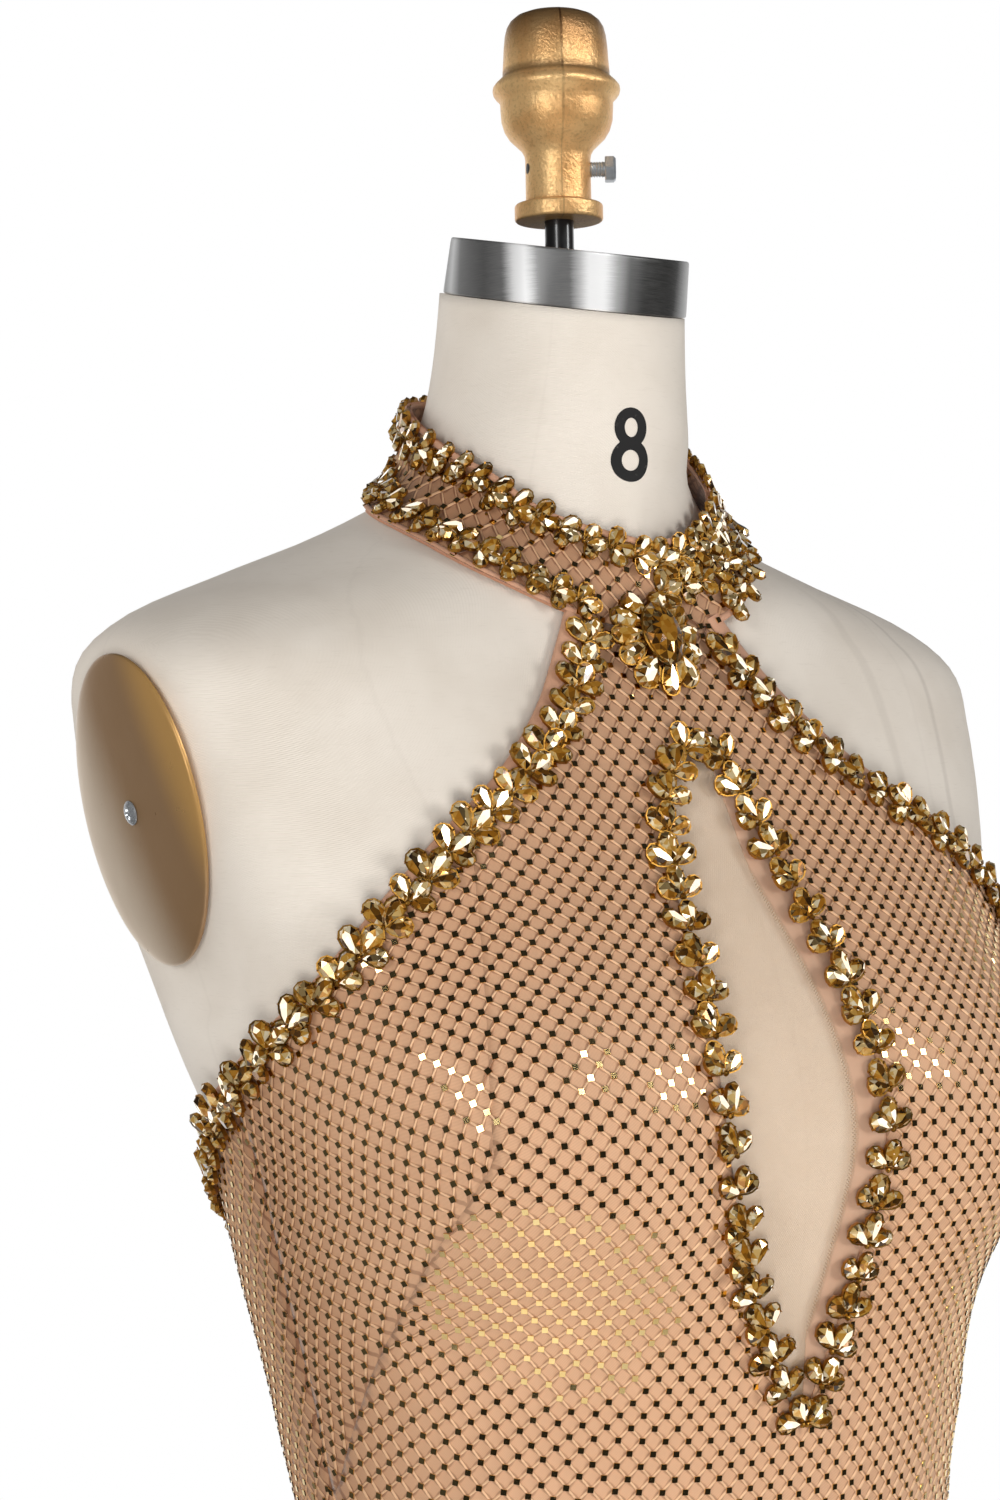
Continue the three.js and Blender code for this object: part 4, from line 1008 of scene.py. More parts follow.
# Its second colour is painted shade, for the sides and the upper chest.
NUDE = net_cloth("nude_net", rgb(232, 185, 147), rgb(180, 134, 98), rgb(128, 84, 58))
front_cloth, front_face = build_front()
finish_piece(front_cloth, NUDE, "mirror_net", "gown_front")
back_sheets = {}
for side, sign in (("right", -1), ("left", 1)):
    back_cloth, back_sheets[side] = build_back(side, sign)
    finish_piece(back_cloth, NUDE, "mirror_net", f"gown_back_{side}")

# ---- Ribs and mirrors of the net ------------------------------------------------------------
# Fine cords cross the net on both slants, and a small square gold mirror is set on each crossing.
NET = dict(rib_width=0.18, rib_height=0.78, mirror=2.15, thickness=0.3, lift=0.8, tilt=0.03)


def new_growth(name, **inputs):
    """A geometry tree that takes a source mesh and named inputs. Gives the tree and its inputs."""
    kinds = {float: "Float", int: "Int", tuple: "Vector", bpy.types.Material: "Material",
             bpy.types.Object: "Object"}
    group = bpy.data.node_groups.new(name, "GeometryNodeTree")
    group.interface.new_socket("Source", in_out="INPUT", socket_type="NodeSocketGeometry")
    for label, value in inputs.items():
        kind = f"NodeSocket{kinds[type(value)]}"
        socket = group.interface.new_socket(label, in_out="INPUT", socket_type=kind)
        if isinstance(value, (float, int, tuple)):
            socket.default_value = value
    group.interface.new_socket("Result", in_out="OUTPUT", socket_type="NodeSocketGeometry")
    tree = Tree(group)
    return group, tree, tree.add("NodeGroupInput")


def grow(name, source, group, **values):
    """Runs a geometry tree on a source and keeps the result as a plain mesh."""
    piece = bpy.data.objects.new(name, source.data.copy())
    bpy.context.scene.collection.objects.link(piece)
    modifier = piece.modifiers.new("growth", "NODES")
    modifier.node_group = group
    for item in group.interface.items_tree:
        if item.in_out == "INPUT" and item.name in values:
            modifier[item.identifier] = values[item.name]
    graph = bpy.context.evaluated_depsgraph_get()
    mesh = bpy.data.meshes.new_from_object(piece.evaluated_get(graph), depsgraph=graph)
    old = piece.data
    piece.modifiers.remove(modifier)
    piece.data = mesh
    bpy.data.meshes.remove(old)
    mesh.name = name
    return piece


def carried(tree, name, kind="FLOAT_VECTOR"):
    """A value that the mesh carries, for a geometry tree."""
    return tree.add("GeometryNodeInputNamedAttribute", dict(data_type=kind), {"Name": name})


def sampled(tree, source, value, where):
    """A value of the source sheet at a place on the net's grid."""
    on_map = tree.vector("MULTIPLY_ADD", where, (1 / MAP, 1 / MAP, 1 / MAP), (0.5, 0, 0))
    ends = {"Mesh": source, "Value": value, "UV Map": carried(tree, "Net"), "Sample UV": on_map}
    return tree.add("GeometryNodeSampleUVSurface", dict(data_type="FLOAT_VECTOR"), ends)


def store(tree, points, name, value, kind="FLOAT_VECTOR", domain="POINT"):
    ends = {"Geometry": points, "Name": name, "Value": value}
    return tree.add("GeometryNodeStoreNamedAttribute", dict(data_type=kind, domain=domain), ends)


def delete(tree, geometry, selection, domain="POINT"):
    ends = {"Geometry": geometry, "Selection": selection}
    return tree.add("GeometryNodeDeleteGeometry", dict(domain=domain), ends)


def crossings(tree, given):
    """Points on the net's grid, one for each crossing of the ribs."""
    columns, rows = given.output("Columns"), given.output("Rows")
    ends = {"Size X": columns - 1, "Size Y": rows - 1, "Vertices X": columns, "Vertices Y": rows}
    grid = tree.add("GeometryNodeMeshGrid", {}, ends)
    moved = tree.vector("ADD", tree.add("GeometryNodeInputPosition"), given.output("Middle"))
    grid = tree.add("GeometryNodeSetPosition", {}, {"Geometry": grid, "Position": moved})
    x, y, _ = tree.split(tree.add("GeometryNodeInputPosition"))
    odd = ((x + y) * 0.5 + 0.25).math("FRACT").math("GREATER_THAN", 0.5)
    return delete(tree, grid, odd)


def jogged(tree, turn, sway, seed):
    """A turn with a random sway about each of its axes."""
    most = tree.add("ShaderNodeCombineXYZ", {}, {0: sway, 1: sway, 2: sway})
    ends = {0: tree.vector("MULTIPLY", most, (-1, -1, -1)), 1: most, "Seed": seed}
    random = tree.add("FunctionNodeRandomValue", dict(data_type="FLOAT_VECTOR"), ends)
    jog = tree.add("FunctionNodeEulerToRotation", {}, {0: random})
    return tree.add("FunctionNodeRotateRotation", dict(rotation_space="LOCAL"), {0: turn, 1: jog})


def finish_growth(tree, grown, given):
    """Ends a tree: the result gets its material."""
    grown = tree.add("GeometryNodeSetMaterial", {}, {0: grown, "Material": given.output("Finish")})
    tree.add("NodeGroupOutput", {}, {0: grown})


def mirror_group(finish):
    """Sets a square plate on each crossing, flat on the cloth and square to the body."""
    group, tree, given = new_growth("set_mirrors", Columns=2, Rows=2, Middle=(0.0, 0.0, 0.0), Square=2.0,
                                    Thickness=0.3, Lift=0.8, Tilt=0.03, Seed=1, Finish=finish)
    points, place = crossings(tree, given), tree.add("GeometryNodeInputPosition")
    here = sampled(tree, given, place, place)
    there = sampled(tree, given, place, tree.vector("ADD", place, (0.2, 0, 0)))
    upright = sampled(tree, given, carried(tree, "out"), place)
    ends = {0: here.output("Is Valid"), 1: there.output("Is Valid")}
    points = delete(tree, points, tree.add("FunctionNodeBooleanMath", dict(operation="NAND"), ends))
    ends = {"Primary Axis": upright, "Secondary Axis": tree.vector("SUBTRACT", there, here)}
    turn = tree.add("FunctionNodeAxesToRotation", {}, ends)
    turn = jogged(tree, turn, given.output("Tilt"), given.output("Seed"))
    points = store(tree, store(tree, points, "turn", turn, "QUATERNION"), "spot", here)
    points = tree.add("GeometryNodeSetPosition", {}, {"Geometry": points, "Position": carried(tree, "spot")})
    base = given.output("Square") * (math.sqrt(0.5) * MM)
    ends = {"Vertices": 4, "Radius Top": base * 0.95, "Radius Bottom": base,
            "Depth": given.output("Thickness") * MM}
    plate = tree.add("GeometryNodeMeshCone", dict(fill_type="NGON"), ends)
    plate = delete(tree, plate, plate.output("Bottom"), "FACE")
    lift = tree.add("ShaderNodeCombineXYZ", {}, {2: given.output("Lift") * MM})
    ends = {"Geometry": plate, "Translation": lift, "Rotation": (0, 0, math.pi / 4)}
    plate = tree.add("GeometryNodeTransform", {}, ends)
    ends = {"Points": points, "Instance": plate, "Rotation": carried(tree, "turn", "QUATERNION")}
    set_on = tree.add("GeometryNodeInstanceOnPoints", {}, ends)
    finish_growth(tree, tree.add("GeometryNodeRealizeInstances", {}, {0: set_on}), given)
    return group


def rib_group(finish):
    """Lays a cord from each crossing to the next on either slant, and wraps them onto the cloth."""
    group, tree, given = new_growth("lay_ribs", Columns=2, Rows=2, Middle=(0.0, 0.0, 0.0), Width=0.12,
                                    Height=0.35, Finish=finish)
    points, place = crossings(tree, given), tree.add("GeometryNodeInputPosition")
    # The cord is a strip with a raised middle line.
    long, (x, _, z) = math.sqrt(2), tree.split(place)
    ends = {"Size X": given.output("Width"), "Size Y": long, "Vertices X": 3, "Vertices Y": 2}
    middle = x.math("ABSOLUTE").math("LESS_THAN", 0.001)
    ends = {"Geometry": tree.add("GeometryNodeMeshGrid", {}, ends),
            "Offset": tree.add("ShaderNodeCombineXYZ", {}, {2: middle})}
    strip = tree.add("GeometryNodeSetPosition", {}, ends)
    both = []
    for turn in (-135, -45):
        way = math.radians(turn + 90)
        ends = {"Geometry": strip, "Rotation": (0, 0, math.radians(turn)),
                "Translation": (math.cos(way) * long / 2, math.sin(way) * long / 2, 0)}
        laid = tree.add("GeometryNodeTransform", {}, ends)
        both.append(tree.add("GeometryNodeInstanceOnPoints", {}, {"Points": points, "Instance": laid}))
    flat = tree.add("GeometryNodeRealizeInstances", {}, {0: tree.join(both)})
    here, upright = sampled(tree, given, place, place), sampled(tree, given, carried(tree, "out"), place)
    rise = z * (given.output("Height") * MM)
    lifted = tree.add("ShaderNodeVectorMath", dict(operation="SCALE"), {0: upright, "Scale": rise})
    flat = store(tree, flat, "spot", tree.vector("ADD", here, lifted))
    lost = tree.add("FunctionNodeBooleanMath", dict(operation="NOT"), {0: here.output("Is Valid")})
    ends = {"Geometry": delete(tree, flat, lost), "Position": carried(tree, "spot")}
    finish_growth(tree, tree.add("GeometryNodeSetPosition", {}, ends), given)
    return group


def rib_finish():
    """Nude cord, rough with strands, that pales where the cloth is stretched and is darker down the sides and
    over the upper chest as painted shade.
    """
    material, tree, shader, where = new_material(
        "rib_cord", Roughness=0.55, Sheen_Weight=0.2, Sheen_Roughness=0.4)
    strand, cloud = noise(tree, where, 1500, 2, 0.7), noise(tree, where, 30, 4)
    # Painted shade: the cord is darker down the sides and over the upper chest.
    cord = tree.mix(stretch_and_painted_shade(tree, where) - cloud * 0.15, rgb(208, 164, 124), rgb(242, 200, 158))
    connect(shader, Base_Color=tree.mix(strand.step(0.5, 0.8) * 0.3, cord, rgb(196, 146, 112)))
    connect(shader, Normal=bump(tree, strand, 0.00008, 0.6))
    return material


def net_extent(sheet):
    """How many cells of the grid a sheet covers, and the middle of them."""
    values = np.empty(len(sheet.data.loops) * 2, np.float32)
    sheet.data.uv_layers["Net"].data.foreach_get("uv", values)
    cells = (values.reshape(-1, 2) - np.array([0.5, 0])) * MAP
    low, high = np.floor(cells.min(0)), np.ceil(cells.max(0))
    columns, rows = (high - low + 1).astype(int)
    return dict(Columns=int(columns), Rows=int(rows), Middle=[*((low + high) / 2).tolist(), 0.0])


# The mirrors are gold foil under a clear face, a little uneven from square to square.
MIRROR = worn_finish("gold_mirror", rgb(238, 200, 124), rgb(250, 226, 168), (140, 2), (0.05, 0.05),
                     Metallic=1.0)
CORD = rib_finish()
mirrors, ribs = mirror_group(MIRROR), rib_group(CORD)


def set_net_on(sheet, name, seed):
    """Grows a sheet's mirrors and ribs, then takes the sheet away."""
    extent = net_extent(sheet)
    plates = grow(f"{name}_mirrors", sheet, mirrors, **extent, Square=NET["mirror"],
                  Thickness=NET["thickness"], Lift=NET["lift"], Tilt=NET["tilt"], Seed=seed, Finish=MIRROR)
    cords = grow(f"{name}_ribs", sheet, ribs, **extent, Width=NET["rib_width"], Height=NET["rib_height"],
                 Finish=CORD)
    cords.data.polygons.foreach_set("use_smooth", [True] * len(cords.data.polygons))
    finish_piece(plates, MIRROR, "mirror_net")
    finish_piece(cords, CORD, "mirror_net")
    bpy.data.objects.remove(sheet)


set_net_on(front_face, "front", 3)
for side, seed in (("right", 5), ("left", 7)):
    set_net_on(back_sheets[side], f"back_{side}", seed)

# ---- Keyhole net ----------------------------------------------------------------------------
# A single layer of sheer nude net fills the keyhole, sewn under its stones. Along the wearer's
# left a plain nude margin shows inside the stones, edged by a line of small holes.
KEYHOLE_NET = dict(back=2.6, face=3.1, under=0.2, margin=13.0)


def keyhole_reach(flat):
    """How far to the side each place is, and how far the keyhole reaches there."""
    angle, z = flat.T
    x = drape(z, angle, CLOTH["face"])[0][:, 0]
    return x, np.maximum(side_read(KEYHOLE, "z", z, x), 0)


def build_keyhole_net():
    flat, faces = panel_grid(np.linspace(-38, 34, 96), np.linspace(KEYHOLE_FOOT - 7, KEYHOLE_TOP + 8, 100))
    (x, reach), z = keyhole_reach(flat), flat[:, 1]
    beside = reach + KEYHOLE_NET["under"] - np.abs(x)
    inside = np.minimum(beside, np.minimum(KEYHOLE_TOP - z, z - KEYHOLE_FOOT))
    flat, faces = trim_sheet(flat, faces, inside)
    (x, reach), (angle, z) = keyhole_reach(flat), flat.T
    # A soft fold runs up to the wearer's left from the foot of the keyhole.
    off_fold = (x - 8) - (z - 1190) * 0.32
    fold = ridge(off_fold, 0.9, 4.5) * ridge(z - 1205, 1, 34)
    outer, _ = drape(z, angle, KEYHOLE_NET["face"] + fold)
    inner, _ = drape(z, angle, KEYHOLE_NET["back"] + fold)
    net = shell("keyhole_sheer", outer, inner, faces, front_net(z, angle, np.zeros(len(z), bool)))
    # How far in from the edge each point is, on the wearer's left.
    set_attribute(net, "inward", np.tile(np.where(x > 0, reach - x, 40.0), 2))

    material, tree, shader, where = new_material("sheer_net", Roughness=0.8)
    u, v, _ = tree.split(tree.add("ShaderNodeUVMap", dict(uv_map="Net")))
    u, v, wide = u * MAP, v * MAP, KEYHOLE_NET["margin"]
    mesh_line = ((u * 40).math("SINE") * (v * 40).math("SINE")).math("ABSOLUTE")
    inward = tree.number("inward")
    margin = 1 - inward.step(wide - 1.5, wide + 0.8)
    in_line = 1 - (inward - wide).math("ABSOLUTE").step(1.0, 1.9)
    holes = in_line * ((u * 19).math("SINE") * (v * 19).math("SINE")).step(0.1, 0.5)
    cloud = noise(tree, where, 40, 3)
    tulle = tree.mix(cloud, rgb(240, 208, 170), rgb(232, 198, 160))
    tulle = tree.mix(margin, tulle, rgb(236, 194, 162))
    connect(shader, Base_Color=tree.mix(holes * 0.55, tulle, rgb(104, 74, 54)))
    connect(shader, Alpha=0.16 + mesh_line * 0.08 + margin * 0.34 + holes * 0.3)
    connect(shader, Normal=bump(tree, mesh_line, 0.00008, 0.3))
    finish_piece(net, material, "sheer_net", "gown_keyhole_net")


build_keyhole_net()

# ---- Collar ---------------------------------------------------------------------------------
# A stand collar of the same net, lined in plain nude and folded over at both edges. It leans
# away from the neck and meets at the nape, where two hooks close it.
COLLAR_END, COLLAR_LEAN = 179.7, 3.0
# Where the collar's net starts on the grid, and how much of it the collar takes.
COLLAR_NET = dict(foot=300, height=34)


def collar_height(angle, share):
    """The height at a share of the way up the collar."""
    lower = side_read(COLLAR, "angle", np.abs(angle), angle)
    return lower + (COLLAR.read("angle", np.abs(angle), "upper") - lower) * share


def on_collar(z, angle, lift=0.0):
    low, high = (collar_height(angle, share) for share in (0, 1))
    share = np.clip((z - low) / (high - low), 0, 1)
    return drape(z, angle, lift + COLLAR_LEAN * share**2)


def along_path(place, path):
    """Points, ways out, ways along and distances on a path of heights and angles."""
    points, out = place(*path.T)
    along = np.gradient(points, axis=0)
    along /= np.linalg.norm(along, axis=1, keepdims=True)
    run = np.concatenate([[0], np.cumsum(np.linalg.norm(np.diff(points, axis=0), axis=1))])
    return points, out, along, run


def strip(name, place, path, section):
    """A closed strip along a path. The section runs round in pairs of distance across and lift."""
    points, out, along, _ = along_path(place, path)
    across = np.cross(out, along)
    section = np.array(section, float)
    rings = points[:, None] + across[:, None] * section[None, :, :1] + out[:, None] * section[None, :, 1:]
    return sharpen(add_mesh(name, rings.reshape(-1, 3), capped_faces(*rings.shape[:2])), 60)


def folded_section(fold, sign):
    """A strip's section, given for one side and mirrored for the other."""
    return [(across * sign, lift) for across, lift in fold][::sign]


def tape_finish():
    """Plain nude knit, folded: a fine rib along its length and a soft change of tone."""
    material, tree, shader, where = new_material(
        "nude_tape", Roughness=0.75, Sheen_Weight=0.2, Sheen_Roughness=0.4)
    knit, cloud = noise(tree, where, 1300, 2, 0.7), noise(tree, where, 45, 3)
    ground = tree.mix(cloud, rgb(216, 166, 134), rgb(202, 152, 122))
    connect(shader, Base_Color=tree.mix(knit.step(0.45, 0.8) * 0.35, ground, rgb(172, 122, 94)))
    connect(shader, Normal=bump(tree, knit, 0.0001, 0.5))
    return material


TAPE = tape_finish()


def build_collar():
    turns = np.linspace(-COLLAR_END, COLLAR_END, 241)
    run = along_path(on_collar, np.stack([collar_height(turns, 0.5), turns], -1))[3]
    run -= np.interp(0, turns, run)
    share, angle = np.meshgrid(np.linspace(0, 1, 9), turns, indexing="ij")
    z = collar_height(angle, share)
    net = np.stack([np.interp(angle, turns, run) * CELLS_ROUND,
                    COLLAR_NET["foot"] + share * COLLAR_NET["height"] * CELLS_UP], -1).reshape(-1, 2)
    puckers = 0.35 * np.sin(angle * 0.61) * np.cos(share * 5 + angle * 0.23)
    outer, out = (part.reshape(-1, 3) for part in on_collar(z, angle, CLOTH["face"] + puckers))
    inner = on_collar(z, angle, CLOTH["back"])[0].reshape(-1, 3)
    faces = grid_faces(*z.shape).tolist()
    finish_piece(shell("collar_band", outer, inner, faces, net), NUDE, "mirror_net", "gown_collar")
    set_net_on(bare_sheet("collar_face", outer, out, faces, net), "collar", 9)
    fold = [(-0.9, 4.0), (-0.4, 4.4), (0.8, 4.4), (1.5, 3.9), (1.5, 2.7), (0.8, 2.1), (-0.5, 2.0),
            (-0.9, 2.3), (0.2, 2.5), (0.3, 3.8)]
    # The lower fold stops either side of the body, which the band is sewn to.
    for name, share, sign, low, high in (
        ("upper", 1.0, -1, -COLLAR_END, COLLAR_END),
        ("lower_right", 0.0, 1, -COLLAR_END, -25),
        ("lower_left", 0.0, 1, 20, COLLAR_END),
    ):
        turns = np.linspace(low, high, 241)
        path = np.stack([collar_height(turns, share), turns], -1)
        piece = strip(f"collar_fold_{name}", on_collar, path, folded_section(fold, sign))
        finish_piece(piece, TAPE, "nude_binding")


build_collar()


def wire(name, path, radius, sides=8):
    """A round wire through a list of points in millimetres."""
    path = np.array(path, float)
    along = np.gradient(path, axis=0)
    along /= np.linalg.norm(along, axis=1, keepdims=True)
    side = np.cross(along, (0.31, 0.17, 0.93))
    side /= np.linalg.norm(side, axis=1, keepdims=True)
    up = np.cross(side, along)
    turns = np.linspace(0, 2 * math.pi, sides, endpoint=False)
    around = side[:, None] * np.cos(turns)[:, None] + up[:, None] * np.sin(turns)[:, None]
    rings = path[:, None] + radius * around
    return sharpen(add_mesh(name, rings.reshape(-1, 3), capped_faces(len(path), sides)), 70)


def smooth_path(corners, count):
    """Points on a rounded line through a few corners."""
    corners = np.array(corners, float)
    t = np.arange(len(corners))
    table = Table("t x y z", np.column_stack([t, corners]))
    at = np.linspace(0, len(corners) - 1, count)
    return np.stack([table.read("t", at, axis) for axis in "xyz"], -1)


def build_hooks():
    """Two hooks, each a flattened double wire with a tongue bent back through its bar."""
    material = worn_finish("hook_wire", rgb(150, 150, 152), rgb(206, 206, 206), (700, 3), (0.2, 0.2),
                           Metallic=1.0)
    loops = [[(5.2, 0.2, 1.2 * sign + 0.9), (5.0, 0.2, 2.1 * sign), (3.6, 0.2, 1.0 * sign),
              (0, 0.1, 0.5 * sign), (-2.6, 0, 0.45 * sign), (-3.3, 0.35, 0.3 * sign), (-3.0, 0.8, 0.2 * sign),
              (-1.2, 0.8, 0.2 * sign)] for sign in (-1, 1)]
    bar = [(-5.3, -0.2, 2.2), (-4.2, -0.2, 2.9), (-2.2, 0.1, 2.7), (-1.8, 0.25, 0), (-2.2, 0.1, -2.7),
           (-4.2, -0.2, -2.9), (-5.3, -0.2, -2.2), (-4.9, -0.2, -1.6)]
    for name, share in (("upper", 0.75), ("lower", 0.25)):
        lift = CLOTH["face"] + 2.2 + COLLAR_LEAN * share**2
        seat = drape(collar_height(180.0, share), 180.0, lift)[0]
        for k, shape in enumerate((*loops, bar)):
            hook = wire(f"hook_{name}_{k + 1}", smooth_path(shape, 26) * [1, -1, 1] + seat, 0.38)
            finish_piece(hook, material, "bright_steel", *([f"collar_hook_{name}"] if k == 0 else []))


build_hooks()

# ---- Free-edge bindings ---------------------------------------------------------------------
# A folded strip of plain nude knit finishes each armhole, runs under the arm and down the back.


def edge_path(side, sign, count=220):
    """Stations at equal distances along a side's free edge, from the collar to the centre back."""
    start = FREE_EDGE.column(side)[0]
    turn = np.concatenate([np.linspace(start + 0.05, 60, 300), np.linspace(60, CENTRE_BACK, 500)[1:]])
    path = np.stack([panel_top(sign * turn), sign * turn], -1)
    run = along_path(drape, path)[3]
    at = np.linspace(0, run[-1], count)
    return np.stack([np.interp(at, run, path[:, 0]), np.interp(at, run, path[:, 1])], -1)


# Going from the collar to the back, the way across points to the wearer's left of the path.
EDGE_FOLD = [(-2.2, 3.8), (-1.6, 4.4), (1.5, 4.3), (4.3, 4.0), (5.3, 3.4), (5.3, 2.9), (4.4, 2.5), (0.3, 2.5),
             (0.3, 3.7)]
for side, sign in (("right", -1), ("left", 1)):
    binding = strip(f"edge_binding_{side}", drape, edge_path(side, sign), folded_section(EDGE_FOLD, sign))
    finish_piece(binding, TAPE, "nude_binding", f"binding_{side}")

# ---- Stones ---------------------------------------------------------------------------------
# Champagne crystal pears in gold cups are sewn on in threes, tips together, one after another
# along the collar, the free edges and the keyhole. A small bead covers each knot.
PEAR = dict(table=0.4, girdle=1.5, crown=3.4, cup=0.2, lift=4.5, pitch=12.8, edge_pitch=10.8,
            collar_pitch=9.4)
# The three pears of each kind of cluster: turn, length, width, how far the tip is from the knot,
# and how far the round end is tipped up, in degrees.
CLUSTERS = [
    [(64, 11.2, 7.9, 0.5, 9), (6, 11.4, 8.1, 0.8, 5), (-50, 9.8, 6.9, 0.6, 12)],
    [(56, 11.0, 8.1, 0.7, 4), (-4, 11.2, 7.7, 0.5, 11), (-58, 9.4, 6.8, 0.7, 7)],
    [(70, 10.8, 7.8, 0.4, 13), (12, 11.6, 8.0, 0.9, 2), (-46, 10.0, 7.2, 0.5, 10)],
]


def pear_outline(length, width, count, grow=0.0):
    """A pear's outline with its tip at the start of X. It is wider by an amount all round."""
    turns = np.linspace(0, 2 * math.pi, count, endpoint=False)
    # A circle drawn out to a point on one side, widest beyond its middle.
    x = length / 2 - np.cos(turns) * (length / 2 + grow)
    y = np.sin(turns) * np.sin(turns / 2) ** 0.75 * (width / 2 + grow) * 1.2
    return np.stack([x, y], -1)


def pear_stone(length, width, count=12):
    """Points and faces of one faceted pear: girdle, crown facets and a long flat table."""
    girdle = pear_outline(length, width, count)
    middle = np.array([length * 0.58, 0])
    table = (girdle[::2] - middle) * [0.74, PEAR["table"]] + middle
    points = [(*p, PEAR["girdle"] - 0.4) for p in girdle] + [(*p, PEAR["crown"]) for p in table]
    half = count // 2
    faces = [list(range(count))[::-1], list(range(count, count + half))]
    for k in range(half):
        a, b, c = 2 * k, 2 * k + 1, (2 * k + 2) % count
        here, after = count + k, count + (k + 1) % half
        faces += [[a, b, here], [b, after, here], [b, c, after]]
    return points, faces


def pear_cup(length, width, count=12):
    """Points and faces of the gold cup round a pear, with three claws bent over its edge."""
    outer, inner = pear_outline(length, width, count, PEAR["cup"]), pear_outline(length, width, count, -0.1)
    low, high = 0.0, PEAR["girdle"]
    points = [(*p * 0.9 + np.array([length * 0.05, 0]), low) for p in outer]
    points += [(*p, high) for p in outer] + [(*p, high) for p in inner]
    faces = [list(range(count))[::-1]]
    for k in range(count):
        n = (k + 1) % count
        faces += [[k, n, count + n, count + k], [count + k, count + n, 2 * count + n, 2 * count + k]]
    faces.append([2 * count + k for k in range(count)])
    middle = np.array([length * 0.56, 0])
    for k in (0, count // 3, count - count // 3):
        foot, way = outer[k], middle - outer[k]
        way = way / np.linalg.norm(way)
        aside = np.array([-way[1], way[0]]) * 0.55
        base = len(points)
        points += [(*(foot - aside), 0.6), (*(foot + aside), 0.6), (*(foot + way * 0.2), high + 0.9),
                   (*(foot + way * 1.5), high + 0.75)]
        faces += [[base, base + 1, base + 2], [base + 1, base + 3, base + 2], [base + 3, base, base + 2],
                  [base, base + 3, base + 1]]
    return points, faces


def place_shape(shape, turn, start, pitch_up=0.0, roll=0.0, lift=0.0, knot=(0.0, 0.0)):
    """Turns a pear about its cluster's knot, tips its round end up and rolls it about its length."""
    points, faces = shape
    matrix = (Matrix.Translation((knot[0], knot[1], lift)) @ Matrix.Rotation(math.radians(turn), 4, "Z")
              @ Matrix.Translation((start, 0, 0)) @ Matrix.Rotation(-math.radians(pitch_up), 4, "Y")
              @ Matrix.Rotation(math.radians(roll), 4, "X"))
    return [tuple(matrix @ Vector(p)) for p in points], faces


def bead(radius, sides=6):
    """Points and faces of a small faceted bead."""
    points, faces = [(0, 0, -radius)], []
    for across, level in ((0.75, -0.6), (1, 0), (0.75, 0.6)):
        turns = [2 * math.pi * k / sides for k in range(sides)]
        wide = across * radius
        points += [(wide * math.cos(turn), wide * math.sin(turn), level * radius) for turn in turns]
    points.append((0, 0, radius))
    for k in range(sides):
        n = (k + 1) % sides
        faces += [[0, 1 + n, 1 + k], [1 + k, 1 + n, 1 + sides + n, 1 + sides + k],
                  [1 + sides + k, 1 + sides + n, 1 + 2 * sides + n, 1 + 2 * sides + k],
                  [1 + 2 * sides + k, 1 + 2 * sides + n, len(points) - 1]]
    return points, faces


def join_shapes(name, shapes, seed=0):
    """One mesh from several shapes. Each flat face keeps a tone of its own, and each table a mark for its
    painted glint.
    """
    points, faces, tables = [], [], []
    for some_points, some_faces in shapes:
        shift = len(points)
        tables.append(len(faces) + 1)
        points += some_points
        faces += [[v + shift for v in face] for face in some_faces]
    piece = add_mesh(name, points, faces, smooth=False)
    tones = np.random.default_rng(seed).random(len(piece.data.polygons))
    tones[[t for t in tables if t < len(tones)]] += 2
    set_attribute(piece, "tone", tones, domain="FACE")
    return piece


def build_clusters():
    """The three kinds of cluster, as a mesh of stones and a mesh of cups for each."""
    made = []
    for k, pears in enumerate(CLUSTERS):
        stones, cups = [], []
        for j, (turn, length, width, start, tip) in enumerate(pears):
            roll = (-7, 4, 9)[(j + k) % 3]
            spot = dict(turn=turn, start=start, pitch_up=tip, roll=roll, knot=(-4.6, 0))
            stones.append(place_shape(pear_stone(length, width), **spot))
            cups.append(place_shape(pear_cup(length, width), **spot))
        # A bead covers the knot, and two smaller ones lie beside the pears.
        for radius, lift, place in ((1.15, 2.0, (-4.9, 0.2)), (0.75, 0.2, (-2.5 + 2 * k, 8.2 - k)),
                                    (0.7, 0.2, (1.5 - 2 * k, -8.0 + k))):
            cups.append(place_shape(bead(radius), 0, 0, lift=lift, knot=place))
        made.append((join_shapes(f"stones_{k}", stones, 20 + k), join_shapes(f"cups_{k}", cups, 30 + k)))
    return made


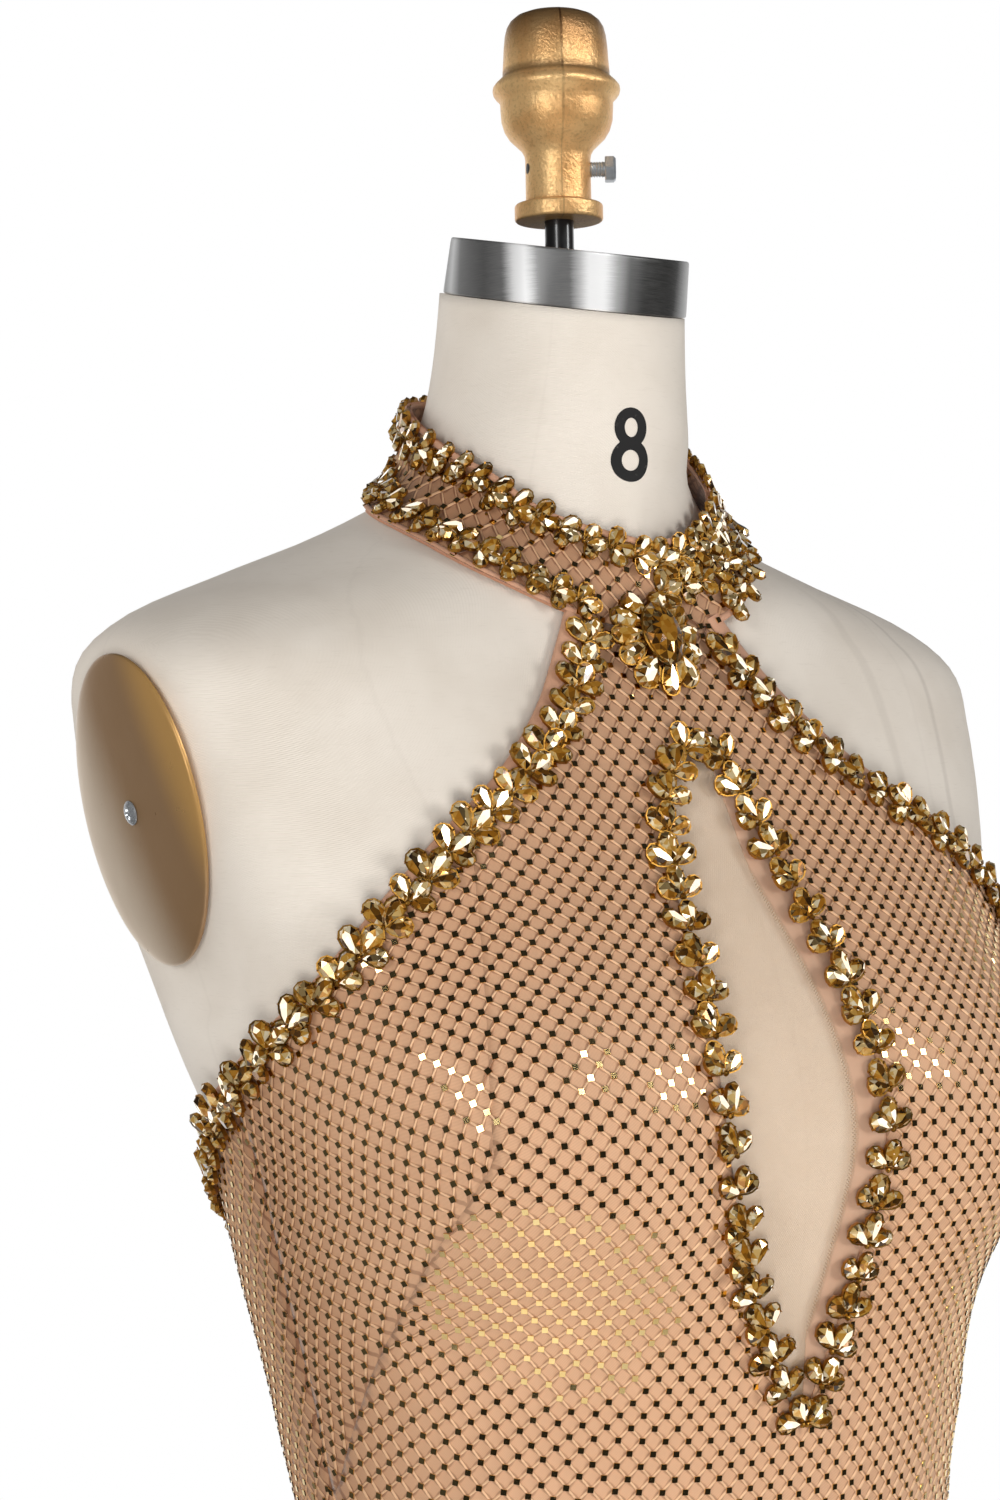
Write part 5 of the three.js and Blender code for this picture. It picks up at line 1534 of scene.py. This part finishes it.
def crystal_finish():
    """Foiled champagne crystal. Each facet takes a tone of its own, from clear to amber and olive: partly the
    crystal's colour, partly painted reflections, with small cells of painted inner reflection.
    """
    material, tree, shader, where = new_material(
        "champagne_crystal", Metallic=0.42, Roughness=0.08, Coat_Weight=1.0, Coat_Roughness=0.02,
        Emission_Strength=1.0)
    tone, glow = tree.number("tone"), tree.number("glow")
    ends = {"Vector": where, "Scale": 430.0}
    cell = tree.add("ShaderNodeTexVoronoi", dict(feature="F1"), ends, output="Color")
    speck = tree.add("ShaderNodeSeparateColor", {}, {0: cell}).output("Red")
    # Painted reflections: each facet's tone, with the cells' specks, picks a colour from white highlight to
    # dark.
    mixed = (tone + glow * 0.6 + speck * 0.34).math("FRACT")
    stops = [(0.0, rgb(255, 246, 220)), (0.16, rgb(238, 206, 138)), (0.34, rgb(216, 162, 68)),
             (0.52, rgb(182, 118, 30)), (0.68, rgb(118, 76, 22)), (0.84, rgb(48, 30, 11)),
             (1.0, rgb(228, 196, 134))]
    colour = tree.add("ShaderNodeValToRGB", dict(stops=stops), {"Fac": mixed})
    # Painted glint: about a third of the tables glow white.
    painted_glint = tone.math("GREATER_THAN", 1.5) * mixed.math("LESS_THAN", 0.3)
    connect(shader, Base_Color=colour, Emission_Color=tree.mix(painted_glint, (0.0, 0.0, 0.0), rgb(250, 240, 224)))
    connect(shader, Normal=bump(tree, speck, 0.0002, 0.3))
    return material


def stone_group(finish):
    """Sews a cluster on each point of a line. Each is one of three kinds, a little turned and sized."""
    first = bpy.data.objects[0]
    group, tree, given = new_growth("sew_stones", Seed=1, Sway=0.1, Size=1.0, First=first, Second=first,
                                    Third=first, Finish=finish)
    kinds = [tree.add("GeometryNodeObjectInfo", {}, {"Object": given.output(name), "As Instance": True},
                      output="Geometry") for name in ("First", "Second", "Third")]
    seed = given.output("Seed")
    ends = {"Primary Axis": carried(tree, "out"), "Secondary Axis": carried(tree, "along")}
    turn = jogged(tree, tree.add("FunctionNodeAxesToRotation", {}, ends), given.output("Sway"), seed)
    ends = {4: 0, 5: 2, "Seed": seed + 1}
    pick = tree.add("FunctionNodeRandomValue", dict(data_type="INT"), ends, output=2)
    ends = {2: 0.93, 3: 1.06, "Seed": seed + 2}
    size = tree.add("FunctionNodeRandomValue", dict(data_type="FLOAT"), ends, output=1)
    ends = {"Points": given, "Instance": tree.join(kinds), "Pick Instance": True, "Instance Index": pick,
            "Rotation": turn, "Scale": size * given.output("Size")}
    sewn = tree.add("GeometryNodeInstanceOnPoints", {}, ends)
    glow = tree.add("FunctionNodeRandomValue", dict(data_type="FLOAT"), {"Seed": seed + 3}, output=1)
    sewn = store(tree, sewn, "glow", glow, "FLOAT", "INSTANCE")
    finish_growth(tree, tree.add("GeometryNodeRealizeInstances", {}, {0: sewn}), given)
    return group


CLUSTER_KINDS = build_clusters()
CRYSTAL = crystal_finish()
CUP = worn_finish("gold_cup", rgb(150, 104, 38), rgb(198, 150, 70), (900, 3, 0.7), (0.32, 0.16),
                  (0.0001, 0.5), Metallic=1.0)
stone_growth = stone_group(CRYSTAL)


def sew_stones(name, place, path, pitch, node, seed, aside=np.zeros_like, size=1.0):
    """Sews clusters along a path of heights and angles, at an even pitch."""
    points, out, along, run = along_path(place, path)
    points = points + np.cross(out, along) * aside(points[:, 2])[:, None] + out * PEAR["lift"]
    count = max(int(round(run[-1] / pitch)), 2)
    at = np.linspace(pitch / 2, run[-1] - pitch / 2, count)
    spread = lambda values: np.stack([np.interp(at, run, column) for column in values.T], -1)
    line = add_mesh(f"{name}_line", spread(points), [])
    for label, values in (("out", out), ("along", along)):
        set_attribute(line, label, spread(values), "FLOAT_VECTOR")
    for part, finish, k in (("stones", CRYSTAL, 0), ("cups", CUP, 1)):
        first, second, third = (kind[k] for kind in CLUSTER_KINDS)
        sewn = grow(f"{name}_{part}", line, stone_growth, Seed=seed, Sway=0.13, Size=size, First=first,
                    Second=second, Third=third, Finish=finish)
        finish_piece(sewn, finish, "crystals", *([node] if k == 0 and node else []))
    bpy.data.objects.remove(line)


def keyhole_path(side, sign):
    """The keyhole's edge on one side, from its foot to its top."""
    z = np.linspace(KEYHOLE_TOP - 0.5, KEYHOLE_FOOT + 1, 300)
    reach = np.maximum(KEYHOLE.read("z", z, side), 0)
    angles = np.linspace(0, 60, 241)
    turn = []
    for height, x in zip(z, reach):
        row = drape(np.full(len(angles), height), sign * angles, CLOTH["face"])[0][:, 0]
        turn.append(np.interp(x, np.abs(row), angles))
    return np.stack([z, sign * np.array(turn)], -1)[::-1]


# Each row on the collar: share of the way up, first and last angle, and seed.
COLLAR_ROWS = dict(
    upper=(0.8, -171, 171, 61), lower_right=(0.11, -171, -20, 62), lower_left=(0.11, 171, 22, 65),
    middle=(0.47, 0, 88, 68),
)


def build_trims():
    for side, sign, top, seed in (("right", -1, 1403, 41), ("left", 1, 1399, 47)):
        sew_stones(f"keyhole_{side}", drape, keyhole_path(side, sign), PEAR["pitch"],
                   f"trim_keyhole_{side}", seed)
        edge = edge_path(side, sign)
        # The clusters open towards the collar.
        sew_stones(f"armhole_{side}", drape, edge[edge[:, 0] < top][::-1], PEAR["edge_pitch"],
                   f"trim_armhole_{side}", seed + 2,
                   aside=lambda z: sign * (2.4 + 3.8 * soft_step(1325, 1380, z)))
    for name, (share, start, end, seed) in COLLAR_ROWS.items():
        turns = np.linspace(start, end, 240)
        path = np.stack([collar_height(turns, share), turns], -1)
        sew_stones(f"collar_{name}", on_collar, path, PEAR["collar_pitch"],
                   f"trim_collar_{name}" if name != "middle" else None, seed, size=0.84)


build_trims()
for kind in CLUSTER_KINDS:
    for piece in kind:
        bpy.data.objects.remove(piece)

# ---- Brooch ---------------------------------------------------------------------------------
# A rosette where the collar meets the body: a tall oval stone ringed by long pears in gold cups.
BROOCH = dict(z=1392.5, angle=-6, lift=8.6, scale=1.24, centre_width=13.5, centre_height=19)
# Petals: turn from straight down, length, width and tilt. Their tips tuck under the middle stone.
PETALS = [
    (0, 10.6, 6.6, 12), (-31, 11.2, 8.8, 14), (32, 11.0, 8.8, 13), (-64, 10.8, 7.0, 11),
    (67, 10.0, 7.4, 15), (-94, 10.6, 6.6, 10), (98, 9.4, 7.2, 12), (-124, 10.2, 7.4, 16),
    (130, 9.2, 7.4, 11), (-154, 8.8, 7.2, 14), (162, 8.4, 7.0, 12),
]


def build_brooch():
    point, out = drape(BROOCH["z"], BROOCH["angle"], BROOCH["lift"])
    out = Vector(out)
    down = (Vector((0, 0, -1)) - out * out.dot(Vector((0, 0, -1)))).normalized()
    frame_turn = Matrix((down, out.cross(down), out)).transposed().to_4x4()
    seat = Matrix.Translation(Vector(point)) @ frame_turn @ Matrix.Scale(BROOCH["scale"], 4)
    stones, cups = [], []
    high, wide = BROOCH["centre_height"], BROOCH["centre_width"]
    for turn, length, width, tip in PETALS:
        way = math.radians(turn)
        start = 1 / math.hypot(math.cos(way) * 2 / high, math.sin(way) * 2 / wide) - 1.6
        spot = dict(turn=turn, start=start, pitch_up=-tip, lift=0.9)
        stones.append(place_shape(pear_stone(length, width, 16), **spot))
        cups.append(place_shape(pear_cup(length, width, 16), **spot))
    # The middle stone's rings, each as a share of its size and a height, turned by half a facet.
    rings = [(1.0, 3.0), (0.97, 4.4), (0.74, 6.0), (0.44, 6.9)]
    points, faces, sides = [], [], 14
    for k, (scale, level) in enumerate(rings):
        for i in range(sides):
            turn = 2 * math.pi * (i + 0.5 * (k % 2)) / sides
            points.append((scale * high / 2 * math.cos(turn) * (1 + 0.1 * math.cos(turn) ** 2),
                           scale * wide / 2 * math.sin(turn), level))
    for k in range(len(rings) - 1):
        for i in range(sides):
            n, a, b = (i + 1) % sides, k * sides, (k + 1) * sides
            if k % 2 == 0:
                faces += [[a + i, a + n, b + i], [a + n, b + n, b + i]]
            else:
                faces += [[a + i, a + n, b + n], [a + i, b + n, b + i]]
    faces += [list(range(sides))[::-1], [(len(rings) - 1) * sides + i for i in range(sides)]]
    stones.append((points, faces))
    turns = np.linspace(0, 2 * math.pi, 28, endpoint=False)
    ring = [(scale * high / 2 * math.cos(turn), scale * wide / 2 * math.sin(turn), level)
            for level, scale in ((0.2, 0.9), (3.8, 1.06), (4.1, 1.02), (3.9, 0.95)) for turn in turns]
    cups.append((ring, capped_faces(4, len(turns))))
    for i in range(8):
        cups.append(place_shape(bead(0.9, 8), 360 / 8 * i + 20, 7.6, lift=2.6))
    for name, shapes, finish in (("stones", stones, CRYSTAL), ("cups", cups, CUP)):
        seated = [([tuple(seat @ Vector(p)) for p in some], shape_faces) for some, shape_faces in shapes]
        piece = join_shapes(f"rosette_{name}", seated, 70)
        set_attribute(piece, "glow", np.full(len(piece.data.vertices), 0.35))
        if name == "stones":
            # The middle stone is deep: its facets are painted dark with a few of clear gold, as painted
            # reflections.
            tones = piece.data.attributes["tone"].data
            for k in range(len(tones) - len(faces), len(tones)):
                tones[k].value = (0.42, 0.1, 0.36, 0.46, 0.2)[k % 5]
        sharpen(piece, 5)
        finish_piece(piece, finish, "crystals", *(["brooch"] if name == "stones" else []))


build_brooch()

# ---- Floor, lights and camera ---------------------------------------------------------------
# A pale studio: a white backdrop, a strip lamp, two small boxes, three flat lamps and a plain
# floor. The polished pieces see a dark room with a bright far wall, as between studio flats.


# Radius, height and middle of each disc, its own glow, and which rays see it.
FLOORS = dict(
    studio_floor=(4500, -0.1, (0, 0), 0.42, "camera"), studio_bounce=(4500, -2, (0, 0), 0.0, "diffuse"),
    # The sweep glows of itself, with no lamp on it, and only the mirrors see it.
    studio_sweep=(1150, -0.2, (-330, -560), 0.62, "glossy"),
)


def build_floor():
    """The floor that is seen, the one that lights the cloth, and a glowing sweep that shows in the mirrors.
    """
    for name, (radius, low, middle, glow, seen) in FLOORS.items():
        material, tree, shader, where = new_material(name, Roughness=0.85, Emission_Strength=glow)
        x, y, _ = tree.split(where)
        mottle = noise(tree, where, 6, 5)
        white = tree.mix(mottle, rgb(226, 225, 223), rgb(236, 235, 233))
        x, y = x - middle[0] * MM, y - middle[1] * MM
        edge = ((x * x + y * y).math("SQRT") / (radius * MM) + mottle * 0.1).step(0.3, 1.0)
        glowing = tree.mix(edge, white, (0.0, 0.0, 0.0)) if seen == "glossy" else white
        connect(shader, Base_Color=white, Emission_Color=glowing)
        connect(shader, Normal=bump(tree, noise(tree, where, 900, 2), 0.0001, 0.2))
        disc = lathe(name, [(0, low), (radius, low)], 64, lambda x, y, z: (x + middle[0], y + middle[1], z))
        disc.data.materials.append(material)
        disc.visible_camera, disc.visible_diffuse = seen == "camera", seen == "diffuse"
        disc.visible_glossy, disc.visible_shadow = seen == "glossy", seen != "camera"


def soft_lamp(name, azimuth, elevation, distance, width, height, power):
    """A rectangular lamp aimed at the bust, from a direction measured like the figure's angles."""
    azimuth, elevation = math.radians(azimuth), math.radians(elevation)
    level = math.cos(elevation)
    way = Vector((math.sin(azimuth) * level, -math.cos(azimuth) * level, math.sin(elevation)))
    light = bpy.data.lights.new(name, "AREA")
    light.shape, light.size, light.size_y, light.energy = "RECTANGLE", width, height, power
    lamp = bpy.data.objects.new(name, light)
    lamp.location = Vector((0, 0, 1.25)) + way * distance
    lamp.rotation_euler = way.to_track_quat("Z", "Y").to_euler()
    bpy.context.scene.collection.objects.link(lamp)
    return lamp


# Where the camera stands, which way it looks, in degrees, and its lens.
CAMERA = dict(place=(-0.6969, -0.9953, 1.326), turn=35, roll=-1.2, lens=76.8, shift=(-0.048, 0.0567))


def build_world():
    world = bpy.data.worlds.new("studio")
    bpy.context.scene.world = world
    world.use_nodes = True
    nodes = world.node_tree.nodes
    nodes.clear()
    tree = Tree(world.node_tree)
    ray = tree.add("ShaderNodeLightPath")
    x, y, z = tree.split(tree.add("ShaderNodeTexCoord").output("Generated"))
    # Along the axis from the backdrop to the camera, which stands to the wearer's right.
    turn, below = math.radians(CAMERA["turn"]), 1 - z.step(0.3, 0.55)
    towards = x * -math.sin(turn) + y * -math.cos(turn)
    backdrop = (1 - towards.step(-0.3, 0.3)) * below
    side = math.radians(20)
    wall = (x * -math.cos(side) + y * math.sin(side)).step(0.55, 0.95) * 0.05
    glossy = (1 - towards.step(-0.85, -0.45)) * below + wall + 0.02
    # The backdrop lights the edges from behind, over a little light from all round.
    even = backdrop * 0.55 + 0.15
    glossy, even = (tree.add("ShaderNodeCombineColor", {}, {0: grey, 1: grey, 2: grey})
                    for grey in (glossy, even))
    light = tree.mix(ray.output("Is Camera Ray"), even, (1.0, 1.0, 1.0))
    shade = tree.mix(ray.output("Is Glossy Ray"), light, glossy)
    background = tree.add("ShaderNodeBackground", {}, {"Color": shade, "Strength": 1.0})
    tree.add("ShaderNodeOutputWorld", {}, {"Surface": background})


def build_camera():
    lens = bpy.data.cameras.new("camera")
    lens.sensor_fit, lens.sensor_width, lens.lens = "AUTO", 36, CAMERA["lens"]
    lens.shift_x, lens.shift_y = CAMERA["shift"]
    camera = bpy.data.objects.new("camera", lens)
    turn = Euler((math.pi / 2, 0, -math.radians(CAMERA["turn"]))).to_matrix().to_4x4()
    roll = Matrix.Rotation(math.radians(CAMERA["roll"]), 4, "Z")
    camera.matrix_world = Matrix.Translation(CAMERA["place"]) @ turn @ roll
    bpy.context.scene.collection.objects.link(camera)
    bpy.context.scene.camera = camera


# Azimuth, elevation, distance, width, height and power of each lamp, and what it gives.
LAMPS = dict(
    key_strip=(-58, 13, 2.3, 0.5, 0.95, 13, "both"),
    upper_box=(6, 37, 2.3, 0.42, 0.42, 10, "glints"), fill_box=(37, 22, 2.3, 0.5, 0.6, 12, "glints"),
    low_flat=(-35, -12, 2.8, 1.0, 1.0, 34, "even light"), right_flat=(20, 5, 2.8, 1.0, 1.0, 28, "even light"),
    back_flat=(-155, 20, 2.8, 1.2, 1.2, 26, "even light"),
)
build_floor()
for name, (*setting, gives) in LAMPS.items():
    lamp = soft_lamp(name, *setting)
    lamp.visible_diffuse, lamp.visible_glossy = gives != "glints", gives != "even light"
build_world()
build_camera()
bpy.context.scene.view_settings.view_transform = "Standard"
